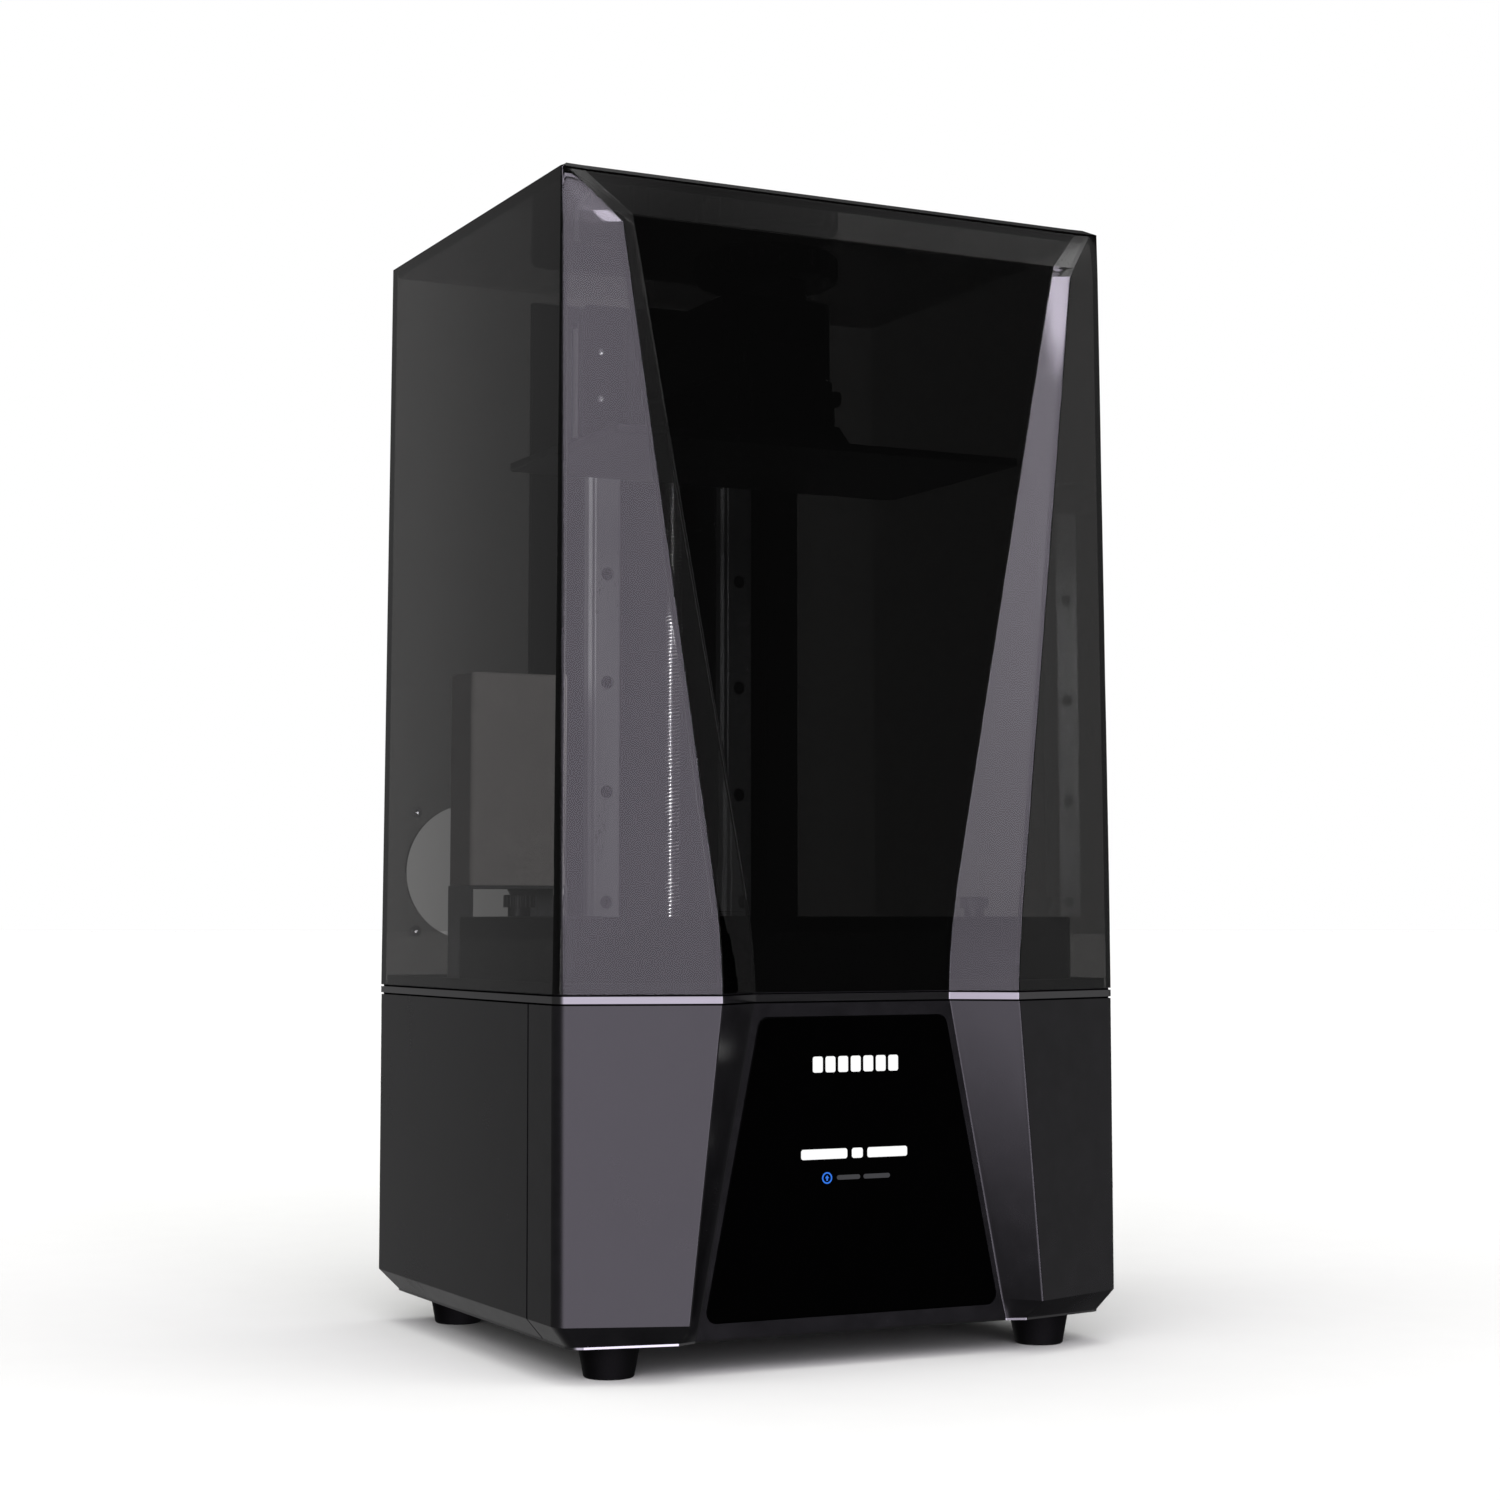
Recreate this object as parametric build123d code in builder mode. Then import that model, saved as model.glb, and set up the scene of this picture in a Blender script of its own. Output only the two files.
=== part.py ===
from build123d import *
import math
import os

# Resin (masked LCD) 3-D printer: a faceted sheet-metal and plastic base with the
# light engine, a smoked lift-off cover, a two-rail Z tower, a cantilevered build
# platform and a resin vat.
# Frame: millimetres, +Z up, front face towards -Y, right side towards +X, origin at
# the centre of the footprint on the table surface under the feet.

os.makedirs("parts", exist_ok=True)

# ------------------------------------------------------- driving dimensions
HALF_W = 153.5          # half width at the waist, its widest line
Y_BACK = 136.6          # flat back wall
Y_RIDGE = -134.4        # front-most line: the two ridges at the waist
Y_FLAT = -113.35        # recessed flat front panel between the ridges
Z_FLOOR = 16.9          # underside of the base shells (plate and feet below)
Z_PLATE0 = 15.8         # underside of the bottom plate
Z_BEVEL = 26.5          # top of the bevel round the bottom of the base
Z_WAIST = 171.8         # top of the base walls
Z_TRIM0 = 172.7         # lower and upper edge of the pale band between base and cover
Z_BAND1 = 176.0
Z_TRIM1 = 176.6         # seat of the cover gasket
Z_DECK = Z_TRIM1 + 0.2  # top face of the deck
Z_STAND = Z_TRIM1 + 0.25    # underside of the vat pads and the purifier stand
Z_COVER = 177.0         # bottom edge of the cover
Z_KNEE_R = 541.0        # ridge turns inwards above this height
Z_KNEE_F = 546.5        # front panel leans back above this height
Z_RIM = 567.5           # top of the cover walls
Z_TOP = 571.9           # top plate
COVER_T = 4.5           # cover wall
BEZEL_T = 3.0           # moulded front wall
SHEET_T = 1.6           # sheet metal wall
Y_WALL = Y_BACK - SHEET_T   # inner face of the back wall of the base
Y_SPLIT = -75.3         # front moulding meets the sheet-metal wrap

ENGINE_Y = -18.0        # centre line of platform, vat, masking screen and light engine
SCREW_Y = 94.75         # lead screw axis
RAIL_X = 40.0           # rail centre lines
RAIL_Y0, RAIL_Y1 = 93.25, 108.25    # front and back face of the rails
Z_TOWER = 541.0         # top of the tower column


# ------------------------------------------------------------ sketch planes
def at_z(z, x=0, y=0):
    """Level sketch plane: local axes X and Y, normal up."""
    return Plane((x, y, z), x_dir=(1, 0, 0), z_dir=(0, 0, 1))


def at_y(y, x=0, z=0):
    """Upright sketch plane: local axes X and Z, normal towards the front (-Y)."""
    return Plane((x, y, z), x_dir=(1, 0, 0), z_dir=(0, -1, 0))


def at_x(x, y=0, z=0):
    """Upright sketch plane: local axes Y and Z, normal towards the right (+X)."""
    return Plane((x, y, z), x_dir=(0, 1, 0), z_dir=(1, 0, 0))


# ---------------------------------------------------------- shared outline
# Each row is (height, value). Base and cover have eight corners: two at the back,
# two where the sides meet the front facets, two ridges and two beside the flat panel.
RIDGE_X = [(Z_FLOOR, 94.2), (Z_BEVEL, 95.1), (Z_WAIST, 80.8), (Z_COVER, 80.5), (185, 80.8),
           (195, 81.3), (205, 82.1), (215, 83.0), (225, 84.2), (Z_KNEE_R, 125.9), (Z_RIM, 147.2)]
RIDGE_Y = [(Z_FLOOR, -116.9), (Z_BEVEL, -130.4), (Z_WAIST, Y_RIDGE), (205, Y_RIDGE),
           (215, -134.2), (225, -133.8), (Z_KNEE_R, -118.5), (Z_RIM, -103.8)]
FLAT_X = [(Z_FLOOR, 84.4), (Z_BEVEL, 82.4), (Z_WAIST, 53.9), (Z_COVER, 53.5), (185, 53.8),
          (195, 54.5), (205, 55.5), (215, 56.8), (225, 58.3), (235, 60.0), (Z_KNEE_F, 118.7),
          (Z_RIM, 138.8)]
FLAT_Y = [(Z_FLOOR, Y_FLAT), (Z_KNEE_F, Y_FLAT), (Z_RIM, -103.2)]
SIDE_X = [(Z_FLOOR, 144.8), (Z_BEVEL, 152.95), (Z_WAIST, HALF_W), (Z_COVER, HALF_W),
          (Z_RIM, 152.0)]
SIDE_Y = [(Z_FLOOR, -106.7), (Z_BEVEL, -109.0), (Z_COVER, -108.7), (Z_RIM, -104.5)]
BACK_Y = [(Z_FLOOR, 128.4), (Z_BEVEL, Y_BACK), (Z_RIM, Y_BACK)]
# corner radius between the sides and the front facets
SIDE_R = [(Z_FLOOR, 8.0), (Z_WAIST, 8.0), (Z_COVER, 7.5), (235, 5.8), (Z_KNEE_R, 2.0),
          (Z_RIM, 1.0)]
FRONT_R = 1.2               # radius of the ridge and flat-panel corners
HOLLOW_CORNERS = (4, 5)     # the two reentrant corners, beside the flat panel
MIN_R = 0.6                 # smallest corner radius of an inset outline

BASE_ZS = [Z_FLOOR, Z_BEVEL, Z_WAIST]
COVER_ZS = [Z_COVER, 185, 195, 205, 215, 225, 235, Z_KNEE_R, Z_KNEE_F, Z_RIM]


def interpolate(z, rows):
    """Straight-line interpolation in a list of (z, value)."""
    if z <= rows[0][0]:
        return rows[0][1]
    for (z0, v0), (z1, v1) in zip(rows, rows[1:]):
        if z <= z1:
            return v0 + (v1 - v0) * (z - z0) / (z1 - z0)
    return rows[-1][1]


def outline_corners(z):
    """Sharp corner points at height z, counter-clockwise, and their radii."""
    side_x, side_y = interpolate(z, SIDE_X), interpolate(z, SIDE_Y)
    ridge_x, ridge_y = interpolate(z, RIDGE_X), interpolate(z, RIDGE_Y)
    flat_x, flat_y = interpolate(z, FLAT_X), interpolate(z, FLAT_Y)
    back_y, side_r = interpolate(z, BACK_Y), interpolate(z, SIDE_R)
    points = [(side_x, back_y), (-side_x, back_y), (-side_x, side_y), (-ridge_x, ridge_y),
              (-flat_x, flat_y), (flat_x, flat_y), (ridge_x, ridge_y), (side_x, side_y)]
    back_r = 2.0 if z <= Z_WAIST else 1.2
    return points, [back_r, back_r, side_r, *[FRONT_R] * 4, side_r]


def inset_corners(points, inset):
    """Move every side of a counter-clockwise polygon inwards by inset."""
    sides = []      # point on the moved side, then its direction
    for (x0, y0), (x1, y1) in zip(points, points[1:] + points[:1]):
        dx, dy = x1 - x0, y1 - y0
        length = math.hypot(dx, dy)
        sides.append((x0 - dy / length * inset, y0 + dx / length * inset, dx, dy))
    moved = []
    for i, (bx, by, bdx, bdy) in enumerate(sides):
        ax, ay, adx, ady = sides[i - 1]
        k = ((bx - ax) * bdy - (by - ay) * bdx) / (adx * bdy - ady * bdx)
        moved.append((ax + adx * k, ay + ady * k))
    return moved


def outline(z, inset):
    """Draw the rounded, inset outline of height z in the current line context."""
    points, radii = outline_corners(z)
    if inset:
        points = inset_corners(points, inset)
        radii = [r + inset if i in HOLLOW_CORNERS else max(r - inset, MIN_R)
                 for i, r in enumerate(radii)]
    count = len(points)
    arcs = []
    for i in range(count):
        corner = Vector(*points[i])
        back = Vector(*points[i - 1]) - corner
        ahead = Vector(*points[(i + 1) % count]) - corner
        half_angle = math.radians(back.get_angle(ahead)) / 2
        # an arc may take up at most 42 % of either side
        tangent = min(radii[i] / math.tan(half_angle), 0.42 * back.length, 0.42 * ahead.length)
        radius = tangent * math.tan(half_angle)
        back, ahead = back.normalized(), ahead.normalized()
        middle = corner + (back + ahead).normalized() * (radius / math.sin(half_angle) - radius)
        arcs.append((corner + back * tangent, middle, corner + ahead * tangent))
    for i in range(count):
        ThreePointArc(*arcs[i])
        Line(arcs[i][2], arcs[(i + 1) % count][0])


def outline_face(z, table_z, outer_inset, inner_inset=None):
    """Outline of table_z laid flat at height z, with an optional inner opening."""
    with BuildSketch(Plane.XY.offset(z), mode=Mode.PRIVATE) as face:
        with BuildLine():
            outline(table_z, outer_inset)
        make_face()
        if inner_inset is not None:
            with BuildLine():
                outline(table_z, inner_inset)
            make_face(mode=Mode.SUBTRACT)
    return face.sketch


def stack(heights, inset=0.0, mode=Mode.ADD):
    """Ruled body through the outlines; an entry may be (height, table height)."""
    sections = []
    for entry in heights:
        z, table_z = entry if isinstance(entry, tuple) else (entry, entry)
        sections.append(outline_face(z, table_z, inset))
    loft(sections, ruled=True, mode=mode)


def slab(z0, z1, table_z, outer_inset, inner_inset=None):
    """Flat plate or ring that follows the outline of table_z."""
    face = outline_face(z0, table_z, outer_inset, inner_inset)
    extrude(face, amount=z1 - z0, dir=(0, 0, 1))


# ------------------------------------------------------------ shared details
def rectangle_corners(x, y, width, height):
    """The four corners of a rectangle centred on (x, y)."""
    return [(x + i * width / 2, y + j * height / 2) for i in (-1, 1) for j in (-1, 1)]


def socket_screws(places, head_r, hex_r, head_y, shank_r, shank_y):
    """Hexagon-socket screws along Y at (x, z) places; head_y and shank_y are (from, to)."""
    with BuildPart() as screws:
        with BuildSketch(at_y(head_y[0])):
            with Locations(*places):
                Circle(head_r)
                RegularPolygon(hex_r, 6, mode=Mode.SUBTRACT)
        extrude(amount=head_y[0] - head_y[1])
        with BuildSketch(at_y(shank_y[0])):
            with Locations(*places):
                Circle(shank_r)
        extrude(amount=shank_y[0] - shank_y[1])
    return screws


def fan_frame_sketch(side, bore_r):
    """Square fan frame with four screw holes, in the current sketch."""
    RectangleRounded(side, side, 4)
    Circle(bore_r, mode=Mode.SUBTRACT)
    with GridLocations(side - 10, side - 10, 2, 2):
        Circle(2.0, mode=Mode.SUBTRACT)


def fan_blades(base, count, rise, twist, middle_r, length, thickness):
    """Add blades round the origin of base, each turned by twist degrees over its rise."""
    for i in range(count):
        sections = []
        for height, lead in ((0, 0), (rise, twist)):
            turn = math.radians(i * 360.0 / count + lead)
            x_dir = base.x_dir * math.cos(turn) + base.y_dir * math.sin(turn)
            plane = Plane(base.origin + base.z_dir * height, x_dir=x_dir, z_dir=base.z_dir)
            with BuildSketch(plane, mode=Mode.PRIVATE) as section:
                with Locations((middle_r, 0)):
                    Rectangle(length, thickness)
            sections.append(section.sketch)
        loft(sections, ruled=True)


# ================================================================== the base
# touch panel: an upright trapezoid, wider at the bottom
GLASS_TOP_HALF_W, GLASS_BOTTOM_HALF_W = 51.0, 79.8
GLASS_Z0, GLASS_Z1 = 24.2, 165.2
DISPLAY_Z = 112         # centre of the display behind the glass

FLOOR_OPENING_W, FLOOR_OPENING_D, FLOOR_OPENING_Y = 258, 216, 10
Z_PAN = Z_FLOOR + 3.8   # top of the raised pan of the bottom plate
FEET = [(118, -90), (-118, -90), (118, 108), (-118, 108)]

BOARD_X, BOARD_Y, Z_BOARD, BOARD_T = -96, 20, 28, 1.6
BOARD_HOLES = (68, 112)     # hole spacing in X and Y

EXHAUST_X, EXHAUST_Z = -86.0, 98.0
INLET_X, SWITCH_X, REAR_Z = 96, 66, 52      # power inlet and switch in the back wall
SWITCH_W, SWITCH_H = 19.2, 13.0
PIN_Y = Y_BACK - 3.4    # rocker pin
USB_Y, USB_Z = -48, 62  # memory-stick socket in the right side
USB_W, USB_H = 15.2, 8.0

VAT_SCREWS = [(130, -11.25), (-130, -11.25)]

LCD_W, LCD_D = 240.0, 146.0
# the light engine, from the bottom up
Z_LAMP_FAN = 38
Z_FINS = 58
Z_SINK = 86
Z_LAMP = 92
Z_HOOD = 94
Z_HOOD_TOP = 164
HOOD_BOTTOM = 84        # outer side of the square lower end
HOOD_W, HOOD_D, HOOD_T = 226, 130, 2    # outer size of the upper end, wall


def glass_corners(grow):
    """Corners (x, z) of the touch panel, grown by grow on every side."""
    slope = (GLASS_BOTTOM_HALF_W - GLASS_TOP_HALF_W) / (GLASS_Z1 - GLASS_Z0)
    sideways = grow * math.sqrt(1 + slope * slope)
    top_x = GLASS_TOP_HALF_W + sideways - slope * grow
    bottom_x = GLASS_BOTTOM_HALF_W + sideways + slope * grow
    top_z, bottom_z = GLASS_Z1 + grow, GLASS_Z0 - grow
    return [(-top_x, top_z), (top_x, top_z), (bottom_x, bottom_z), (-bottom_x, bottom_z)]


def seam_lip():
    """Lip of the front moulding that the sheet-metal wrap closes over."""
    inset = SHEET_T + 0.1
    with BuildPart() as lip:
        stack([Z_FLOOR + inset, Z_BEVEL, Z_WAIST], inset)
        stack([Z_FLOOR + 3, Z_BEVEL, Z_WAIST], BEZEL_T, mode=Mode.SUBTRACT)
        with Locations((0, Y_SPLIT + 3.5, 100)):
            Box(400, 8, 300, mode=Mode.INTERSECT)
    return lip


def front_bezel():
    lip = seam_lip()
    with BuildPart() as bezel:
        stack(BASE_ZS)
        # hollow behind the front wall, open at the back and the top
        stack([Z_FLOOR + 3, Z_BEVEL, Z_WAIST], BEZEL_T, mode=Mode.SUBTRACT)
        with Locations((0, Y_SPLIT + 150, 100)):
            Box(400, 300, 300, mode=Mode.SUBTRACT)
        add(lip.part)
        # floor opening that leaves a narrow flange for the bottom plate
        with BuildSketch(at_z(Z_FLOOR - 1, y=FLOOR_OPENING_Y)):
            Rectangle(FLOOR_OPENING_W, FLOOR_OPENING_D)
        extrude(amount=5, mode=Mode.SUBTRACT)
        # recess for the touch glass and the window behind it
        with BuildSketch(at_y(Y_FLAT - 1)) as pocket:
            Polygon(*glass_corners(0.25), align=None)
            fillet(pocket.vertices(), 5.4)
        extrude(amount=-(1 + 2.2), mode=Mode.SUBTRACT)
        with BuildSketch(at_y(Y_FLAT - 1)) as window:
            Polygon(*glass_corners(-5.0), align=None)
            fillet(window.vertices(), 4.0)
        extrude(amount=-12, mode=Mode.SUBTRACT)
    return bezel


def base_shell():
    """Sheet-metal wrap: sides, back and floor flange."""
    slot_h, slot_pitch = 3.2, 7.2
    with BuildPart() as shell:
        stack(BASE_ZS)
        stack([Z_FLOOR + SHEET_T, Z_BEVEL, Z_WAIST], SHEET_T, mode=Mode.SUBTRACT)
        with Locations((0, Y_SPLIT + 1.5 - 150, 100)):
            Box(400, 300, 300, mode=Mode.SUBTRACT)
        with BuildSketch(at_z(Z_FLOOR - 1, y=FLOOR_OPENING_Y)):
            Rectangle(FLOOR_OPENING_W, FLOOR_OPENING_D)
        extrude(amount=5, mode=Mode.SUBTRACT)
        # exhaust slots, power inlet and switch openings in the back wall
        with BuildSketch(at_y(Y_BACK + 2)):
            with Locations((EXHAUST_X, EXHAUST_Z)):
                with GridLocations(0, slot_pitch, 1, 9):
                    SlotOverall(64, slot_h)
            with Locations((30, EXHAUST_Z)):
                with GridLocations(0, slot_pitch, 1, 5):
                    SlotOverall(56, slot_h)
            with Locations((INLET_X, REAR_Z)):
                Circle(6.2)
            with Locations((SWITCH_X, REAR_Z)):
                Rectangle(SWITCH_W + 0.2, SWITCH_H + 0.2)
        extrude(amount=6, mode=Mode.SUBTRACT)
        # intake louvres low on the right side towards the rear
        with BuildSketch(at_x(HALF_W - 4, 98, 52)):
            with GridLocations(slot_pitch, 0, 6, 1):
                SlotOverall(26, slot_h, rotation=90)
        extrude(amount=8, mode=Mode.SUBTRACT)
        # memory-stick socket opening
        with BuildSketch(at_x(HALF_W - 4, USB_Y, USB_Z)):
            Rectangle(USB_W + 0.2, USB_H + 0.2)
        extrude(amount=8, mode=Mode.SUBTRACT)
    return shell


def bottom_plate():
    """Flat plate under the base; a raised pan fills the floor opening."""
    plate_top = Z_FLOOR - 0.1
    with BuildPart() as plate:
        slab(Z_PLATE0, plate_top, Z_FLOOR, 0.2)
        with BuildSketch(at_z(plate_top, y=FLOOR_OPENING_Y)):
            Rectangle(FLOOR_OPENING_W - 0.6, FLOOR_OPENING_D - 0.6)
        extrude(amount=Z_PAN - plate_top)
        # four bosses under the main board
        with BuildSketch(at_z(Z_PAN, BOARD_X, BOARD_Y)):
            with GridLocations(*BOARD_HOLES, 2, 2):
                Circle(3.4)
        extrude(amount=Z_BOARD - Z_PAN)
        # vents and foot screw holes
        with BuildSketch(at_z(Z_PLATE0 - 1)):
            with Locations((0, ENGINE_Y)):
                with GridLocations(0, 9, 1, 8):
                    SlotOverall(66, 4)
            with Locations(*FEET):
                Circle(2.3)
        extrude(amount=9, mode=Mode.SUBTRACT)
    return plate


def turned_at_feet(profile):
    """Turn a profile of (radius, z) points about the axis of each foot."""
    with BuildPart() as turned:
        for x, y in FEET:
            with BuildSketch(at_y(y, x)):
                with BuildLine():
                    Polyline(*profile, close=True)
                make_face()
            revolve(axis=Axis((x, y, 0), (0, 0, 1)))
    return turned


def rubber_feet():
    """Upward-widening cones with a counterbored screw hole."""
    foot_top = Z_PLATE0 - 0.05
    return turned_at_feet([(2.4, 6.0), (4.8, 6.0), (4.8, 0.0), (11.4, 0.0), (12.0, 0.6),
                           (14.6, 14.4), (14.6, foot_top), (2.4, foot_top)])


def foot_screws():
    return turned_at_feet([(0, 3.2), (4.2, 3.2), (4.2, 5.9), (2.0, 5.9), (2.0, 24.5), (0, 24.5)])


def deck_trim():
    """Pale band between base and cover, stepped back above and below for shadow gaps."""
    with BuildPart() as trim:
        slab(Z_TRIM0, Z_BAND1, Z_COVER, 0.0, 5.0)
        slab(Z_WAIST, Z_TRIM0, Z_COVER, 1.2, 5.0)
        slab(Z_BAND1, Z_TRIM1, Z_COVER, 1.2, 5.0)
    return trim


def deck_plate():
    """Deck with an upstanding edge."""
    edge_inset, seat_depth = 5.15, 1.2
    with BuildPart() as deck:
        slab(Z_WAIST, Z_DECK, Z_COVER, edge_inset)
        slab(Z_DECK, 182.0, Z_COVER, edge_inset, 7.6)
        # opening over the light engine and a shallow seat for the masking screen
        with Locations((0, ENGINE_Y, 174)):
            Box(224, 128, 10, mode=Mode.SUBTRACT)
        with Locations((0, ENGINE_Y, Z_DECK - seat_depth + 5)):
            Box(LCD_W + 0.4, LCD_D + 0.4, 10, mode=Mode.SUBTRACT)
        # lead screw passage and the two vat screw bosses
        with Locations((0, SCREW_Y, 174)):
            Cylinder(8.05, 12, mode=Mode.SUBTRACT)
        with BuildSketch(at_z(Z_WAIST - 6)):
            with Locations(*VAT_SCREWS):
                Circle(6)
        extrude(amount=6)
        with BuildSketch(at_z(Z_WAIST - 7)):
            with Locations(*VAT_SCREWS):
                Circle(2.58)
        extrude(amount=16, mode=Mode.SUBTRACT)
    return deck


def mask_lcd():
    with BuildPart() as lcd:
        with BuildSketch(at_z(Z_TRIM1 - 1.0, y=ENGINE_Y)):
            Rectangle(LCD_W, LCD_D)
        extrude(amount=1.5)
    return lcd


def mask_glass():
    with BuildPart() as glass:
        with BuildSketch(at_z(Z_TRIM1 + 0.5, y=ENGINE_Y)):
            RectangleRounded(236, 140, 3)
        extrude(amount=1.2)
    return glass


def light_hood():
    """Hollow square funnel with a flange under the deck."""
    with BuildPart() as hood:
        for shrink, mode in ((0, Mode.ADD), (2 * HOOD_T, Mode.SUBTRACT)):
            with BuildSketch(at_z(Z_HOOD, y=ENGINE_Y)):
                Rectangle(HOOD_BOTTOM - shrink, HOOD_BOTTOM - shrink)
            with BuildSketch(at_z(Z_HOOD_TOP, y=ENGINE_Y)):
                Rectangle(HOOD_W - shrink, HOOD_D - shrink)
            loft(ruled=True, mode=mode)
        with BuildSketch(at_z(Z_HOOD_TOP, y=ENGINE_Y)):
            Rectangle(HOOD_W + 12, HOOD_D + 12)
            Rectangle(HOOD_W - 2 * HOOD_T, HOOD_D - 2 * HOOD_T, mode=Mode.SUBTRACT)
        extrude(amount=Z_WAIST - Z_HOOD_TOP)
    return hood


def fresnel_lens():
    clearance = 0.4
    with BuildPart() as lens:
        with BuildSketch(at_z(Z_HOOD_TOP + 1, y=ENGINE_Y)):
            Rectangle(HOOD_W - 2 * HOOD_T - clearance, HOOD_D - 2 * HOOD_T - clearance)
        extrude(amount=2.5)
    return lens


def lamp_board():
    """Board with a 7 x 7 grid of lamps."""
    with BuildPart() as board:
        with BuildSketch(at_z(Z_LAMP, y=ENGINE_Y)):
            Rectangle(96, 96)
        extrude(amount=Z_HOOD - Z_LAMP)
        with BuildSketch(at_z(Z_HOOD, y=ENGINE_Y)):
            with GridLocations(11, 11, 7, 7):
                Rectangle(5, 5)
        extrude(amount=1.4)
    return board


def heat_sink():
    depth = 96
    with BuildPart() as sink:
        with BuildSketch(at_z(Z_SINK, y=ENGINE_Y)):
            Rectangle(100, depth)
        extrude(amount=Z_LAMP - Z_SINK)
        with BuildSketch(at_z(Z_FINS, y=ENGINE_Y)):
            with GridLocations(8, 0, 13, 1):
                Rectangle(2.2, depth)
        extrude(amount=Z_SINK - Z_FINS)
    return sink


LAMP_HUB_R, EXHAUST_HUB_R = 17, 13


def lamp_fan_frame():
    """Frame of the heat-sink fan, axis vertical."""
    with BuildPart() as frame:
        with BuildSketch(at_z(Z_LAMP_FAN, y=ENGINE_Y)):
            fan_frame_sketch(side=92, bore_r=42)
        extrude(amount=Z_FINS - Z_LAMP_FAN)
        with BuildSketch(at_z(Z_LAMP_FAN, y=ENGINE_Y)):
            Circle(LAMP_HUB_R)
            with PolarLocations(30, 4, start_angle=45):
                Rectangle(28, 3)
        extrude(amount=2.5)
    return frame


def lamp_fan_rotor():
    with BuildPart() as rotor:
        with BuildSketch(at_z(Z_LAMP_FAN + 3, y=ENGINE_Y)):
            Circle(LAMP_HUB_R)
        extrude(amount=15)
        fan_blades(at_z(Z_LAMP_FAN + 5, y=ENGINE_Y), count=9, rise=11, twist=16,
                   middle_r=28.2, length=24.6, thickness=2.0)
    return rotor


def exhaust_fan_frame():
    """Frame of the fan on the back wall, axis along Y."""
    with BuildPart() as frame:
        with BuildSketch(at_y(Y_WALL, EXHAUST_X, EXHAUST_Z)):
            fan_frame_sketch(side=70, bore_r=31.5)
        extrude(amount=15)
        with BuildSketch(at_y(Y_WALL - 12.5, EXHAUST_X, EXHAUST_Z)):
            Circle(EXHAUST_HUB_R)
            with PolarLocations(22, 4, start_angle=45):
                Rectangle(20, 3)
        extrude(amount=2.5)
    return frame


def exhaust_fan_rotor():
    with BuildPart() as rotor:
        with BuildSketch(at_y(Y_WALL - 1.0, EXHAUST_X, EXHAUST_Z)):
            Circle(EXHAUST_HUB_R)
        extrude(amount=10.5)
        fan_blades(at_y(Y_WALL - 2.0, EXHAUST_X, EXHAUST_Z), count=7, rise=8, twist=18,
                   middle_r=21.2, length=18.6, thickness=1.8)
    return rotor


def main_board():
    """Board with low and tall rectangular components."""
    board_top = Z_BOARD + BOARD_T
    with BuildPart() as board:
        with BuildSketch(at_z(Z_BOARD, BOARD_X, BOARD_Y)):
            Rectangle(76, 120)
            with GridLocations(*BOARD_HOLES, 2, 2):
                Circle(1.7, mode=Mode.SUBTRACT)
        extrude(amount=BOARD_T)
        with BuildSketch(at_z(board_top)):
            with Locations((-98, 30)):
                Rectangle(18, 18)
            with Locations((-98, 0), (-78, 10), (-110, -8)):
                Rectangle(10, 8)
        extrude(amount=2.0)
        with BuildSketch(at_z(board_top)):
            with Locations((-124, 60), (-124, 40), (-124, 20), (-70, 66), (-70, 46)):
                Rectangle(11, 9)
        extrude(amount=7)
    return board


def touch_glass():
    with BuildPart() as glass:
        with BuildSketch(at_y(Y_FLAT)) as face:
            Polygon(*glass_corners(0.0), align=None)
            fillet(face.vertices(), 5.2)
        extrude(amount=-2.1)
        chamfer(glass.faces().sort_by(Axis.Y)[0].edges(), 0.35)
    return glass


def touch_display():
    front_y, depth = Y_FLAT + 2.15, 4.5
    with BuildPart() as display:
        with BuildSketch(at_y(front_y, z=DISPLAY_Z)):
            Rectangle(90, 66)
        extrude(amount=-depth)
        with BuildSketch(at_y(front_y + depth, z=DISPLAY_Z)):
            Rectangle(80, 50)
        extrude(amount=-1.6)
    return display


def power_inlet():
    """Round socket with a hexagonal nut inside the wall and a centre pin."""
    barrel_r = 6.0
    with BuildPart() as inlet:
        with BuildSketch(at_y(Y_BACK - 0.2, INLET_X, REAR_Z)):
            Circle(barrel_r)
            Circle(3.2, mode=Mode.SUBTRACT)
        extrude(amount=14)
        with BuildSketch(at_y(Y_WALL, INLET_X, REAR_Z)):
            RegularPolygon(9, 6)
            Circle(barrel_r - 0.1, mode=Mode.SUBTRACT)
        extrude(amount=3.5)
        with BuildSketch(at_y(Y_BACK - 1.5, INLET_X, REAR_Z)):
            Circle(1.1)
        extrude(amount=13)
        with BuildSketch(at_y(Y_BACK - 13.0, INLET_X, REAR_Z)):
            Circle(barrel_r)
        extrude(amount=2)
    return inlet


def switch_frame():
    """Frame fixed in the back wall, with holes for the rocker pin in its side walls."""
    with BuildPart() as frame:
        with BuildSketch(at_y(Y_BACK - 0.1, SWITCH_X, REAR_Z)):
            Rectangle(SWITCH_W, SWITCH_H)
            Rectangle(16.0, 9.6, mode=Mode.SUBTRACT)
        extrude(amount=12)
        with BuildSketch(at_y(Y_BACK - 12.1, SWITCH_X, REAR_Z)):
            Rectangle(SWITCH_W, SWITCH_H)
        extrude(amount=2)
        with BuildSketch(at_x(SWITCH_X - 9.1, PIN_Y, REAR_Z)):
            Circle(1.35)
        extrude(amount=2 * 9.1, mode=Mode.SUBTRACT)
    return frame


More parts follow.
